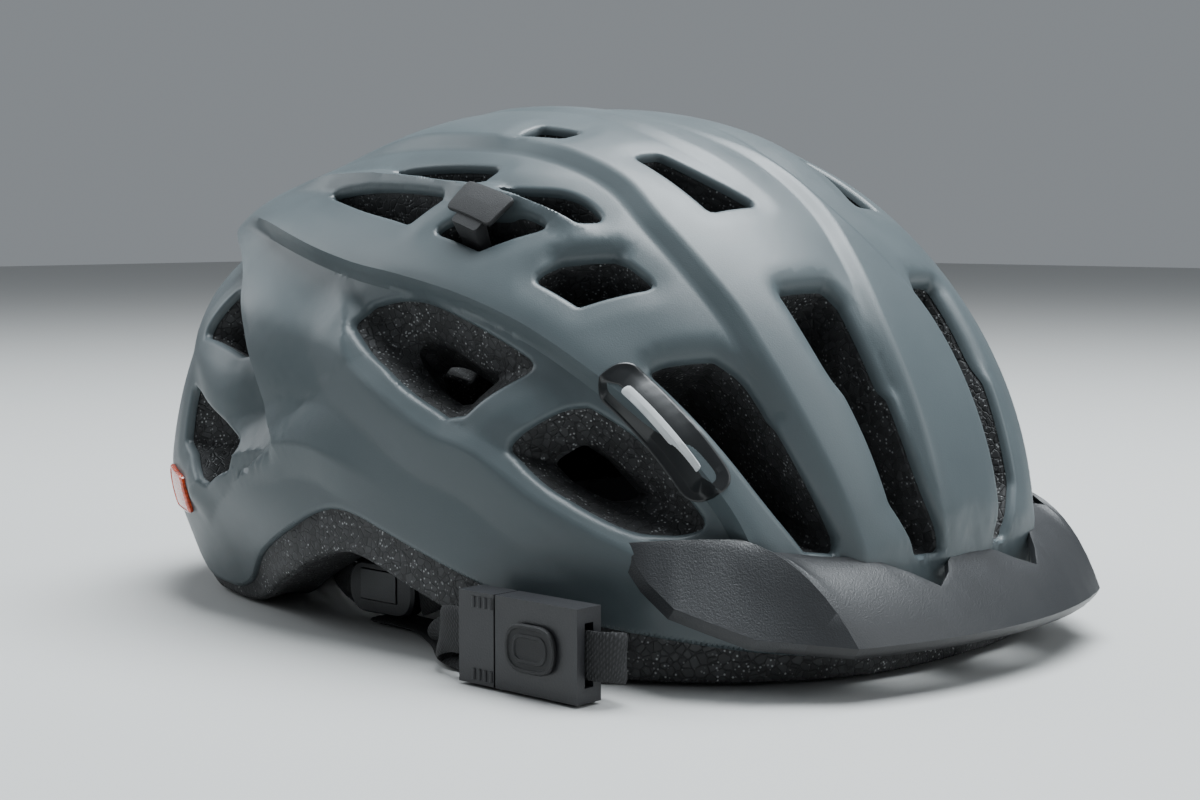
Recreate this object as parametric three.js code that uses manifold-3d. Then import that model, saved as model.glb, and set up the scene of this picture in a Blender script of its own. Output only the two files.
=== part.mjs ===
// Cycling helmet: foam liner, moulded shell, visor, fit system, pads, straps and buckle.
// Millimetres, +Z up. The helmet faces -Y and the wearer's right is -X.
// Everything is drawn about the centre of the head form, whose ear axis is X,
// and the whole group is then lifted so that the rim rests on Z = 0.

import * as THREE from 'three';
import { mergeVertices } from 'three/addons/utils/BufferGeometryUtils.js';
import Module from 'manifold-3d';

const wasm = await Module();
wasm.setup();

// ---------------------------------------------------------------- driving dimensions

const HEAD_FORWARD = 10; // how far the head centre lies behind the middle of the length
const REST_DEPTH = 26; // from the head centre down to the surface that the rim rests on
const GAP = 0.3; // clearance between pieces that touch
const SHELL_THICKNESS = 1.2;
const FLOOR = -REST_DEPTH;

// A surface is a mid-plane profile, swept about the ear axis and rounded towards the ears.
// profile: radius in the mid-plane every 30 degrees of pitch, from -90 (straight down);
// pitch 0 looks forward, 90 up and 180 back. side: -90 is the right ear, 90 the left.
const OUTER = {
  profile: [140, 145, 150, 151, 141, 134, 127, 138, 150, 152, 148, 144],
  halfWidth: 104,
  power: 2.6,
  tuck: 0.15,
};
const INNER = {
  profile: [104, 108, 113, 110, 106, 102, 99, 103, 109, 111, 112, 106],
  halfWidth: 77,
  power: 2.25,
  tuck: 0.08,
};
const PITCH_STEPS = 36;
const SIDE_STEPS = 16;

// The lower rear lobes tuck in towards the nape below this height and behind this line.
const TUCK_TOP = 20;
const TUCK_START = 10;
const TUCK_LENGTH = 60;

// Rim lines in the side view, [y, z] from the head centre.
const FOAM_RIM = [
  [-200, FLOOR], [-85, FLOOR], [-65, -18], [-33, -8], [-8, 1], [4, 1], [30, -11], [66, FLOOR],
  [108, FLOOR], [126, -14], [142, 0], [200, 4],
];
const SHELL_RIM = [
  [-200, -19], [-142, -19], [-103, -12], [-79, -9], [-43, 2], [-20, 9], [-4, 14], [6, 14],
  [30, 2], [52, -9], [70, -22], [106, -22], [124, -9], [142, 6], [200, 12],
];

// Vent outlines on the right half, [pitch, side] in degrees; the left half mirrors them.
const VENTS = {
  brow_inner: [
    [35, -15.5], [34.5, -8], [20, -7.5], [8, -6.2], [2.5, -4.8], [2.5, -8.3], [8.5, -12], [16, -13.2],
  ],
  crown_inner: [[62.5, -17], [61.5, -13.7], [47.8, -9.6], [48.3, -16.3]],
  top_inner: [[80, -21], [80, -17], [73, -16], [73.5, -19.5]],
  brow_outer: [[31, -33], [29, -25.6], [16, -21.8], [4, -18.8], [4.2, -22.2], [10, -25.8], [19, -29.6]],
  middle: [[54.3, -38.4], [49.3, -29.4], [41.5, -28.1], [45, -36.8]],
  upper_inner: [[74, -31.3], [68.5, -29.5], [63.8, -27.3], [55.5, -27.4], [57.3, -29.9], [64, -31.1]],
  upper_outer: [[79, -40], [75.5, -36.5], [60.3, -32.6], [67, -40]],
  rear_inner: [[98.5, -30], [93.5, -28.7], [77.5, -27.7], [78.3, -31.5]],
  rear_outer: [[112, -31.5], [98.5, -33.2], [82, -34.4], [86, -39.6], [100, -37.2]],
  side_front: [
    [30, -52.5], [31.5, -47], [30.5, -42.5], [17, -35.6], [8, -32.2], [8, -38.4], [12, -44.2], [19, -49.8],
  ],
  side_rear: [[91.5, -52.8], [84, -50.2], [58, -48.1], [42, -45.2], [43, -58], [62.5, -60.8], [84, -58.1]],
  shoulder: [[145, -37], [135, -36], [129, -43], [128.5, -52], [137, -48.5]],
  nape_side: [[155, -39.5], [150.5, -59], [160, -59], [168, -54], [164.5, -42.5]],
  nape_inner: [[127.5, -19.5], [125.5, -7.5], [112.5, -6.5], [112.5, -17.5]],
  nape_low: [[159, -21.5], [157.5, -7.5], [141, -7.5], [143, -23]],
};

const COLOURS = {
  shell: { color: 0x5d686b, roughness: 0.55, metalness: 0 },
  foam: { color: 0x1c1e1f, roughness: 0.9, metalness: 0 },
  visor: { color: 0x222426, roughness: 0.5, metalness: 0 },
  plastic: { color: 0x17181a, roughness: 0.45, metalness: 0 },
  webbing: { color: 0x121314, roughness: 0.9, metalness: 0 },
  pad: { color: 0x26282a, roughness: 0.95, metalness: 0 },
  badge: { color: 0x2a2d2f, roughness: 0.3, metalness: 0 },
  reflector: { color: 0xc23a1a, roughness: 0.2, metalness: 0 },
};

const helmet = new THREE.Group();
helmet.position.set(0, HEAD_FORWARD, REST_DEPTH);

// ---------------------------------------------------------------- small tools

const vec = (x, y, z) => new THREE.Vector3(x, y, z);

function addPart(name, geometry, look) {
  const mesh = new THREE.Mesh(geometry, new THREE.MeshStandardMaterial(COLOURS[look]));
  mesh.name = name;
  helmet.add(mesh);
}

function toManifold(geometry) {
  const bare = geometry.clone();
  bare.deleteAttribute('normal');
  bare.deleteAttribute('uv');
  const welded = mergeVertices(bare, 1e-4);
  return new wasm.Manifold(new wasm.Mesh({
    numProp: 3,
    vertProperties: new Float32Array(welded.attributes.position.array),
    triVerts: new Uint32Array(welded.index.array),
  }));
}

function toGeometry(solid) {
  const mesh = solid.getMesh();
  const geometry = new THREE.BufferGeometry();
  geometry.setAttribute('position', new THREE.BufferAttribute(mesh.vertProperties, 3));
  geometry.setIndex(new THREE.BufferAttribute(mesh.triVerts, 1));
  geometry.computeVertexNormals();
  return geometry;
}

function meshOf(points, triangles) {
  const geometry = new THREE.BufferGeometry();
  const flat = points.flatMap((p) => [p.x, p.y, p.z]);
  geometry.setAttribute('position', new THREE.Float32BufferAttribute(flat, 3));
  geometry.setIndex(triangles);
  geometry.computeVertexNormals();
  return geometry;
}

// A solid from rings of equal length: rings are joined in order and the two ends are capped.
function loft(rings) {
  const count = rings[0].length;
  const triangles = [];
  for (let r = 0; r + 1 < rings.length; r += 1) {
    for (let i = 0; i < count; i += 1) {
      const j = (i + 1) % count;
      const [a, b, c, d] = [r * count + i, r * count + j, (r + 1) * count + j, (r + 1) * count + i];
      triangles.push(a, b, c, a, c, d);
    }
  }
  const last = (rings.length - 1) * count;
  for (let i = 1; i + 1 < count; i += 1) {
    triangles.push(0, i + 1, i);
    triangles.push(last, last + i, last + i + 1);
  }
  return meshOf(rings.flat(), triangles);
}

function boxSolid(low, high) {
  const size = high.map((value, i) => value - low[i]);
  const box = new THREE.BoxGeometry(...size);
  box.translate(...low.map((value, i) => value + size[i] / 2));
  return toManifold(box);
}

const mirrored = (geometry) => toGeometry(toManifold(geometry).mirror([1, 0, 0]));

// Adds a part drawn on the right side and its mirror image on the left.
function addPair(name, geometry, look) {
  addPart(`${name}_right`, geometry, look);
  addPart(`${name}_left`, mirrored(geometry), look);
}

// ---------------------------------------------------------------- head-form surfaces

function profileRadius(profile, pitch) {
  const place = (pitch + 90) / 30;
  const whole = Math.floor(place);
  const u = place - whole;
  const weights = [
    (1 - u) ** 3 / 6,
    (3 * u ** 3 - 6 * u ** 2 + 4) / 6,
    (-3 * u ** 3 + 3 * u ** 2 + 3 * u + 1) / 6,
    u ** 3 / 6,
  ];
  const count = profile.length;
  return weights.reduce((sum, w, k) => sum + w * profile[(((whole - 1 + k) % count) + count) % count], 0);
}

function surfacePoint(surface, pitch, side, inset = 0) {
  const p = THREE.MathUtils.degToRad(pitch);
  const s = THREE.MathUtils.degToRad(side);
  const mid = profileRadius(surface.profile, pitch);
  const across = Math.abs(Math.sin(s) / surface.halfWidth) ** surface.power;
  const along = Math.abs(Math.cos(s) / mid) ** surface.power;
  const radius = (across + along) ** (-1 / surface.power) - inset;
  const reach = radius * Math.cos(s);
  const point = vec(radius * Math.sin(s), -reach * Math.cos(p), reach * Math.sin(p));
  const low = THREE.MathUtils.smoothstep(TUCK_TOP - point.z, 0, TUCK_TOP + REST_DEPTH);
  const back = THREE.MathUtils.smoothstep(point.y - TUCK_START, 0, TUCK_LENGTH);
  point.x *= 1 - surface.tuck * low * back;
  return point;
}

// The whole closed surface, with its poles at the ears.
function surfaceSolid(surface, inset) {
  const points = [surfacePoint(surface, 0, -90, inset)];
  for (let j = 1; j < SIDE_STEPS; j += 1) {
    for (let i = 0; i < PITCH_STEPS; i += 1) {
      points.push(surfacePoint(surface, (360 * i) / PITCH_STEPS, -90 + (180 * j) / SIDE_STEPS, inset));
    }
  }
  points.push(surfacePoint(surface, 0, 90, inset));
  const at = (j, i) => 1 + (j - 1) * PITCH_STEPS + (i % PITCH_STEPS);
  const last = points.length - 1;
  const triangles = [];
  for (let i = 0; i < PITCH_STEPS; i += 1) {
    triangles.push(0, at(1, i), at(1, i + 1));
    triangles.push(last, at(SIDE_STEPS - 1, i + 1), at(SIDE_STEPS - 1, i));
    for (let j = 1; j + 1 < SIDE_STEPS; j += 1) {
      triangles.push(at(j, i), at(j + 1, i), at(j + 1, i + 1));
      triangles.push(at(j, i), at(j + 1, i + 1), at(j, i + 1));
    }
  }
  return toManifold(meshOf(points, triangles));
}

// A patch of a surface between two insets, as a closed slab.
function patch(surface, pitches, sides, insets, steps) {
  const rings = [];
  for (let i = 0; i <= steps; i += 1) {
    const pitch = THREE.MathUtils.lerp(pitches[0], pitches[1], i / steps);
    rings.push([
      surfacePoint(surface, pitch, sides[0], insets[0]),
      surfacePoint(surface, pitch, (sides[0] + sides[1]) / 2, insets[0]),
      surfacePoint(surface, pitch, sides[1], insets[0]),
      surfacePoint(surface, pitch, sides[1], insets[1]),
      surfacePoint(surface, pitch, (sides[0] + sides[1]) / 2, insets[1]),
      surfacePoint(surface, pitch, sides[0], insets[1]),
    ]);
  }
  return outwards(loft(rings));
}

// Turns a closed mesh so that its faces point out, whichever way its rings were wound.
function outwards(geometry) {
  const position = geometry.attributes.position;
  const index = Array.from(geometry.index.array);
  let volume = 0;
  const corner = [0, 1, 2].map(() => vec(0, 0, 0));
  for (let i = 0; i < index.length; i += 3) {
    corner.forEach((c, k) => c.fromBufferAttribute(position, index[i + k]));
    volume += corner[0].dot(corner[1].clone().cross(corner[2]));
  }
  if (volume < 0) index.reverse();
  geometry.setIndex(index);
  geometry.computeVertexNormals();
  return geometry;
}

// A cutter that runs from inside the head space out through the shell along the head radius.
function ventCutter(outline, mirror) {
  const flip = mirror ? -1 : 1;
  const ring = (scale) => outline.map(([pitch, side]) => (
    surfacePoint(OUTER, pitch, side * flip).multiplyScalar(scale)
  ));
  const contour = outline.map(([pitch, side]) => new THREE.Vector2(pitch, side));
  const caps = THREE.ShapeUtils.triangulateShape(contour, []);
  const count = outline.length;
  const triangles = [];
  for (let i = 0; i < count; i += 1) {
    const j = (i + 1) % count;
    triangles.push(i, j, count + j, i, count + j, count + i);
  }
  for (const [a, b, c] of caps) {
    triangles.push(a, c, b);
    triangles.push(count + a, count + b, count + c);
  }
  return toManifold(outwards(meshOf([...ring(0.5), ...ring(1.2)], triangles)));
}

// Everything below a rim line of the side view.
function belowRim(line) {
  const shape = new THREE.Shape();
  shape.moveTo(-200, -220);
  line.forEach(([y, z]) => shape.lineTo(y, z));
  shape.lineTo(200, -220);
  const width = 300;
  const block = new THREE.ExtrudeGeometry(shape, { depth: width, bevelEnabled: false });
  block.applyMatrix4(new THREE.Matrix4().makeBasis(vec(0, 1, 0), vec(0, 0, 1), vec(1, 0, 0)));
  block.translate(-width / 2, 0, 0);
  return toManifold(block);
}

// ---------------------------------------------------------------- shell, foam and visor

// The visor snaps in by a flat tongue in the middle and one at each wing.
// Each tongue starts inside the blade, reach ahead of the shell, and goes depth into the foam.
const PEG = { halfWidth: 6, depth: 12, low: -9, high: -5, pitch: -3 };
const PEG_PLACES = [
  { x: -58, side: -25, reach: 16 },
  { x: 0, side: 0, reach: 11 },
  { x: 58, side: 25, reach: 16 },
];

function pegBox({ x, side, reach }, margin) {
  const mouth = surfacePoint(OUTER, PEG.pitch, side).y;
  return boxSolid(
    [x - PEG.halfWidth - margin, mouth - reach, PEG.low - margin],
    [x + PEG.halfWidth + margin, mouth + PEG.depth + margin, PEG.high + margin],
  );
}

function addShellAndFoam() {
  const outlines = Object.values(VENTS);
  const vents = [false, true].flatMap((mirror) => outlines.map((outline) => ventCutter(outline, mirror)));
  const sockets = PEG_PLACES.map((place) => pegBox(place, 2 * GAP));
  const cut = (solid, tools) => tools.reduce((rest, tool) => rest.subtract(tool), solid);
  const shell = surfaceSolid(OUTER, 0).subtract(surfaceSolid(OUTER, SHELL_THICKNESS));
  const foam = surfaceSolid(OUTER, SHELL_THICKNESS + GAP).subtract(surfaceSolid(INNER, 0));
  addPart('outer_shell', toGeometry(cut(shell, [belowRim(SHELL_RIM), ...vents, ...sockets])), 'shell');
  addPart('eps_liner', toGeometry(cut(foam, [belowRim(FOAM_RIM), ...vents, ...sockets])), 'foam');
}

// Visor stations on the right half, from the wing tip to the middle:
// upper edge as [pitch, side] on the shell, front lip as [x, y, z].
const VISOR_STATIONS = [
  { edge: [7, -41], lip: [-88, -101, 7] },
  { edge: [7, -36], lip: [-90, -118, 1] },
  { edge: [6.5, -30], lip: [-80, -138, -8] },
  { edge: [2.5, -26.5], lip: [-62, -155, -12] },
  { edge: [4.5, -24], lip: [-50, -161, -12] },
  { edge: [3, -16], lip: [-36, -165, -12] },
  { edge: [-1.5, -8.5], lip: [-20, -168, -12] },
  { edge: [2, -5], lip: [-11, -169, -12] },
  { edge: [2.5, 0], lip: [0, -170, -12] },
];
const VISOR_THICKNESS = 2.4;

function visorBlade() {
  const half = VISOR_STATIONS.map(({ edge, lip }) => [surfacePoint(OUTER, ...edge, -1.2), vec(...lip)]);
  const other = half.slice(0, -1).reverse().map((pair) => pair.map((p) => vec(-p.x, p.y, p.z)));
  const pairs = [...half, ...other];
  const rings = pairs.map(([edge, lip], i) => {
    const before = pairs[Math.max(0, i - 1)];
    const after = pairs[Math.min(pairs.length - 1, i + 1)];
    const run = after[1].clone().sub(before[1]).add(after[0]).sub(before[0]);
    const under = run.cross(lip.clone().sub(edge)).normalize();
    under.multiplyScalar(under.z > 0 ? -VISOR_THICKNESS : VISOR_THICKNESS);
    return [edge, lip, lip.clone().add(under), edge.clone().add(under)];
  });
  return toManifold(outwards(loft(rings)));
}

function addVisor() {
  const pegs = PEG_PLACES.map((place) => pegBox(place, 0)).reduce((sum, peg) => sum.add(peg));
  const blade = visorBlade().subtract(surfaceSolid(OUTER, -GAP));
  addPart('visor', toGeometry(blade.add(pegs)), 'visor');
}

// ---------------------------------------------------------------- trim on the shell

// Badge: a stadium-shaped plate on the side band, just off the shell.
const BADGE = { from: [33, -38], to: [12, -31], halfWidth: 2.9, outer: -2, inner: -0.9, steps: 14 };

function badgePlate() {
  const { from, to, halfWidth, outer, inner, steps } = BADGE;
  const run = new THREE.Vector2(to[0] - from[0], to[1] - from[1]);
  const length = run.length();
  const across = new THREE.Vector2(-run.y, run.x).divideScalar(length);
  const rings = [];
  for (let i = 0; i <= steps; i += 1) {
    const place = (length * (1 - Math.cos((Math.PI * i) / steps))) / 2;
    const fromEnd = Math.min(place, length - place, halfWidth);
    const half = Math.max(0.3, Math.sqrt(halfWidth ** 2 - (halfWidth - fromEnd) ** 2));
    const at = (k, inset) => surfacePoint(
      OUTER,
      from[0] + (run.x * place) / length + across.x * half * k,
      from[1] + (run.y * place) / length + across.y * half * k,
      inset,
    );
    rings.push([at(-1, outer), at(0, outer), at(1, outer), at(1, inner), at(0, inner), at(-1, inner)]);
  }
  return outwards(loft(rings));
}

// Lamp clip: a flat plate on the thin upper rib and a body that hangs into the vent beside it.
function lampClip() {
  const plate = toManifold(patch(OUTER, [67, 78], [-37.6, -31], [-3.4, -1], 3));
  const stem = toManifold(patch(OUTER, [68, 74], [-39.3, -37.3], [-3.4, 16], 2));
  return toGeometry(plate.add(stem));
}

function addTrim() {
  addPair('badge', badgePlate(), 'badge');
  addPair('reflector', patch(OUTER, [171, 179], [-45, -37], [-2, -0.5], 2), 'reflector');
  addPart('lamp_clip', lampClip(), 'plastic');
}

// ---------------------------------------------------------------- pads

const PAD_THICKNESS = 6;
const FACET_RISE = 1.4; // how far a flat facet of the foam can stand into the head space, with its gap

function addPads() {
  const insets = [FACET_RISE, FACET_RISE + PAD_THICKNESS];
  addPart('crown_pad_middle', patch(INNER, [52, 118], [-4, 4], insets, 8), 'pad');
  addPair('crown_pad', patch(INNER, [40, 118], [-24.5, -18.5], insets, 8), 'pad');
  addPair('side_pad', patch(INNER, [50, 125], [-70, -63], insets, 6), 'pad');
}

// ---------------------------------------------------------------- belts and cradle

// Belts follow a rounded oval around the head.
const BELT = { halfWidth: 70, halfLength: 101, power: 2.4, low: -13, high: 1, reach: 68, thickness: 1.8 };
const BROW_PAD = { inset: 4.6, reach: 46, low: -18, high: 2 };
const BELT_ANCHOR = { low: [-76, -52, -7], high: [-66, -40, 6] };

function ovalPoint(inset, degrees) {
  const angle = THREE.MathUtils.degToRad(degrees);
  const bend = (value) => Math.sign(value) * Math.abs(value) ** (2 / BELT.power);
  return vec(
    (BELT.halfWidth - inset) * bend(Math.sin(angle)),
    -(BELT.halfLength - inset) * bend(Math.cos(angle)),
    0,
  );
}

// An upright band along a path of [x, y, low, high] stations.
function uprightBand(path, thickness) {
  const rings = path.map(([x, y, low, high], i) => {
    const [ax, ay] = path[Math.max(0, i - 1)];
    const [bx, by] = path[Math.min(path.length - 1, i + 1)];
    const length = Math.hypot(bx - ax, by - ay);
    const off = [(-(by - ay) / length) * (thickness / 2), ((bx - ax) / length) * (thickness / 2)];
    return [
      vec(x - off[0], y - off[1], low),
      vec(x + off[0], y + off[1], low),
      vec(x + off[0], y + off[1], high),
      vec(x - off[0], y - off[1], high),
    ];
  });
  return outwards(loft(rings));
}

function ovalPath(inset, reach, low, high, steps) {
  const path = [];
  for (let i = 0; i <= steps; i += 1) {
    const point = ovalPoint(inset, -reach + (2 * reach * i) / steps);
    path.push([point.x, point.y, low, high]);
  }
  return path;
}

// A block of the space inside the foam, with its back shaped by the foam.
function foamBlock(low, high) {
  return boxSolid(low, high).intersect(surfaceSolid(INNER, GAP));
}

function addFrontBelt() {
  const belt = ovalPath(0, BELT.reach, BELT.low, BELT.high, 16);
  const brow = ovalPath(BROW_PAD.inset, BROW_PAD.reach, BROW_PAD.low, BROW_PAD.high, 12);
  addPart('front_belt', uprightBand(belt, BELT.thickness), 'plastic');
  addPart('brow_pad', uprightBand(brow, PAD_THICKNESS), 'pad');
  const anchor = foamBlock(BELT_ANCHOR.low, BELT_ANCHOR.high);
  const wider = ovalPath(0, BELT.reach + 4, FLOOR - 4, BELT.high + 9, 16);
  const slot = toManifold(uprightBand(wider, BELT.thickness + 2 * GAP));
  addPair('belt_anchor', toGeometry(largest(anchor.subtract(slot))), 'plastic');
}

// The largest separate piece of a solid.
function largest(solid) {
  return solid.decompose().sort((a, b) => b.volume() - a.volume())[0];
}

// Dial at the back: a pinion between two racks, the right band's above and the left band's below.
const DIAL = { z: -8, pitchRadius: 5, teeth: 10, toothHalf: 0.5, rackFront: 85, rackBack: 87.4, shaft: 3 };
const TOOTH_PITCH = (2 * Math.PI * DIAL.pitchRadius) / DIAL.teeth;

function yCylinder(radius, from, to, z, sides) {
  const rod = new THREE.CylinderGeometry(radius, radius, to - from, sides);
  rod.translate(0, (from + to) / 2, z);
  return toManifold(rod);
}

// Rear band: an arm along the head and a toothed strip that crosses over (right) or under (left) the pinion.
const ARM = [
  [-73, -4, -6, 7], [-72, 8, -6, 7], [-67, 28, -6.5, 6], [-55.5, 50, -12, 3], [-43.5, 71, -16, 0],
  [-35, 82, -17, 1], [-24, 86.2, -17, 1],
];
const RACK = {
  from: -26,
  to: 10,
  thickness: 3,
  toothHeight: 1.7,
  toothShare: 0.17,
  firstTooth: -7,
  lastTooth: 2,
};

function rearBand(up) {
  const arm = uprightBand(ARM.map(([x, y, low, high]) => [x * up, y, low, high]), BELT.thickness);
  const { from, to, thickness, toothHeight, toothShare, firstTooth, lastTooth } = RACK;
  const root = DIAL.pitchRadius + 1;
  const strip = (x0, x1, near, far) => boxSolid(
    [Math.min(x0 * up, x1 * up), DIAL.rackFront, DIAL.z + Math.min(near * up, far * up)],
    [Math.max(x0 * up, x1 * up), DIAL.rackBack, DIAL.z + Math.max(near * up, far * up)],
  );
  let band = toManifold(arm).add(strip(from, to, root, root + thickness));
  const half = TOOTH_PITCH * toothShare;
  for (let k = firstTooth; k <= lastTooth; k += 1) {
    const x = (k + 0.5) * TOOTH_PITCH;
    band = band.add(strip(x - half, x + half, root - toothHeight, root + 0.5));
  }
  return toGeometry(band);
}

function pinion() {
  const core = yCylinder(DIAL.pitchRadius - 1.1, DIAL.rackFront - 0.2, DIAL.rackBack + 0.4, DIAL.z, 20);
  const tip = DIAL.pitchRadius + 0.7;
  const tooth = boxSolid([-DIAL.toothHalf, DIAL.rackFront, 0], [DIAL.toothHalf, DIAL.rackBack, tip]);
  let gear = core.add(yCylinder(DIAL.shaft, DIAL.rackBack, KNOB.front - 0.4, DIAL.z, 20));
  for (let k = 0; k < DIAL.teeth; k += 1) {
    gear = gear.add(tooth.rotate([0, (360 * k) / DIAL.teeth, 0]).translate([0, 0, DIAL.z]));
  }
  return toGeometry(gear);
}

const HOUSING = { halfWidth: 21, front: 82.6, back: 90.2, halfHeight: 14, wall: 1.6, sill: 3, cover: 1.8 };
const KNOB = { front: 93, back: 103.5, radius: 16.5, flutes: 16, fluteRadius: 1.5, fluteCircle: 17.2 };

function dialKnob() {
  let knob = yCylinder(KNOB.radius, KNOB.front, KNOB.back, DIAL.z, 32);
  const flute = yCylinder(KNOB.fluteRadius, KNOB.front - 1, KNOB.back + 1, 0, 8);
  for (let k = 0; k < KNOB.flutes; k += 1) {
    const angle = (2 * Math.PI * k) / KNOB.flutes;
    const place = [KNOB.fluteCircle * Math.cos(angle), 0, DIAL.z + KNOB.fluteCircle * Math.sin(angle)];
    knob = knob.subtract(flute.translate(place));
  }
  return toGeometry(knob);
}

function addDialUnit() {
  const { halfWidth, front, back, halfHeight, wall, sill, cover } = HOUSING;
  const low = [-halfWidth, front, DIAL.z - halfHeight];
  const high = [halfWidth, back, DIAL.z + halfHeight];
  const room = boxSolid(
    [-halfWidth - 1, front + wall, DIAL.z - halfHeight + sill],
    [halfWidth + 1, back + 1, DIAL.z + halfHeight - sill],
  );
  addPart('dial_housing', toGeometry(boxSolid(low, high).subtract(room)), 'plastic');
  const plate = boxSolid([low[0], back + GAP, low[2]], [high[0], back + GAP + cover, high[2]]);
  const bore = yCylinder(DIAL.shaft + 2 * GAP, front, KNOB.back, DIAL.z, 20);
  addPart('dial_cover', toGeometry(plate.subtract(bore)), 'plastic');
  addPart('dial_knob', dialKnob(), 'plastic');
  addPart('dial_pinion', pinion(), 'plastic');
}

// Cradle: a curved plate behind the nape pad, with a foot that meets the housing.
// The height strap rises from the housing through a guide that is set in the foam.
const CRADLE = {
  line: [[-28, 73.5], [-20, 77], [-10, 79.4], [0, 80.2], [10, 79.4], [20, 77], [28, 73.5]],
  thickness: 2.2,
  below: 15,
  above: 20,
  padInset: 4.8,
  padShare: 0.94,
  padBelow: 13,
  padAbove: 17,
};
const CRADLE_FOOT = { halfWidth: 12, front: 79.5, low: 2, high: 12 };
const HEIGHT_STRAP = { halfWidth: 7, front: 85, back: 87, top: 50 };
const HEIGHT_SLOTS = { count: 4, pitch: 8, halfWidth: 3.5 };
const HEIGHT_GUIDE = { low: [-11, 82, 28], high: [11, 110, 38] };

function heightStrap() {
  const { halfWidth, front, back, top } = HEIGHT_STRAP;
  const foot = DIAL.z + HOUSING.halfHeight + GAP;
  let strip = boxSolid([-halfWidth, front, foot], [halfWidth, back, top]);
  for (let k = 1; k <= HEIGHT_SLOTS.count; k += 1) {
    const low = foot + HEIGHT_SLOTS.pitch * k;
    strip = strip.subtract(boxSolid(
      [-HEIGHT_SLOTS.halfWidth, front - 1, low],
      [HEIGHT_SLOTS.halfWidth, back + 1, low + HEIGHT_SLOTS.pitch / 2],
    ));
  }
  return toGeometry(strip);
}

function addCradle() {
  const { line, thickness, below, above, padInset, padShare, padBelow, padAbove } = CRADLE;
  const between = (low, high) => ([x, y]) => [x, y, DIAL.z - low, DIAL.z + high];
  const foot = boxSolid(
    [-CRADLE_FOOT.halfWidth, CRADLE_FOOT.front, DIAL.z + CRADLE_FOOT.low],
    [CRADLE_FOOT.halfWidth, HOUSING.front - GAP, DIAL.z + CRADLE_FOOT.high],
  );
  const frame = toManifold(uprightBand(line.map(between(below, above)), thickness)).add(foot);
  addPart('cradle_frame', toGeometry(frame), 'plastic');
  const inner = line.map(([x, y]) => [x * padShare, y - padInset]);
  addPart('nape_pad', uprightBand(inner.map(between(padBelow, padAbove)), PAD_THICKNESS), 'pad');
  addPart('height_strap', heightStrap(), 'plastic');
  const slack = 2 * GAP;
  const slot = boxSolid(
    [-HEIGHT_STRAP.halfWidth - slack, HEIGHT_STRAP.front - slack, HEIGHT_GUIDE.low[2] - 1],
    [HEIGHT_STRAP.halfWidth + slack, HEIGHT_STRAP.back + slack, HEIGHT_GUIDE.high[2] + 1],
  );
  const guide = foamBlock(HEIGHT_GUIDE.low, HEIGHT_GUIDE.high).subtract(slot);
  addPart('height_anchor', toGeometry(guide), 'plastic');
}

// ---------------------------------------------------------------- straps, dividers and buckle

const WEBBING = { width: 13, thickness: 1.8 };

// A flat strap along stations of [centre, direction across the strap].
function strap(stations, width = WEBBING.width) {
  const centres = stations.map(([centre]) => vec(...centre));
  const rings = stations.map(([, across], i) => {
    const before = centres[Math.max(0, i - 1)];
    const after = centres[Math.min(centres.length - 1, i + 1)];
    const along = after.clone().sub(before).normalize();
    const side = vec(...across);
    side.addScaledVector(along, -side.dot(along)).normalize();
    const face = along.clone().cross(side).multiplyScalar(WEBBING.thickness / 2);
    side.multiplyScalar(width / 2);
    const corner = (s, f) => centres[i].clone().addScaledVector(side, s).addScaledVector(face, f);
    return [corner(-1, -1), corner(1, -1), corner(1, 1), corner(-1, 1)];
  });
  return outwards(loft(rings));
}

const DIVIDER = { x: -71.2, y: 15, z: -15.8, halfLength: 15, halfHeight: 8, halfWidth: 2.8 };
const KEEPER = { y: -14, halfLength: 4, halfWidth: 8.6, wall: 1.4 };
const STRAP_ANCHORS = {
  front: { low: [-80, -30, 2], high: [-68, -14, 14] },
  rear: { low: [-80, 58, 8], high: [-58, 72, 20] },
};

function addStrapAnchors() {
  const front = foamBlock(STRAP_ANCHORS.front.low, STRAP_ANCHORS.front.high);
  const rear = foamBlock(STRAP_ANCHORS.rear.low, STRAP_ANCHORS.rear.high);
  addPair('strap_anchor_front', toGeometry(front), 'plastic');
  addPair('strap_anchor_rear', toGeometry(rear), 'plastic');
}

function addSideStraps() {
  const { x, y, z, halfLength } = DIVIDER;
  const front = strap([
    [[-73.4, -22, -1.8], [0, 1, 0]],
    [[-73.6, -20, -6], [0, 1, 0.4]],
    [[-73.4, -13, -11], [0, 0.7, 1]],
    [[-72.4, -5, -14.5], [0, 0.1, 1]],
    [[x, y - halfLength - 3 * GAP, z], [0, 0, 1]],
  ]);
  const rear = strap([
    [[-60, 63, 6], [0.2, 1, 0]],
    [[-60.2, 62, 0], [0.2, 1, 0.2]],
    [[-62.2, 55, -8], [0, 0.8, 1]],
    [[-66.4, 43, -14], [0, 0.2, 1]],
    [[x, y + halfLength + GAP, z], [0, 0, 1]],
  ]);
  addPair('front_strap', front, 'webbing');
  addPair('rear_strap', rear, 'webbing');
}

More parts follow.
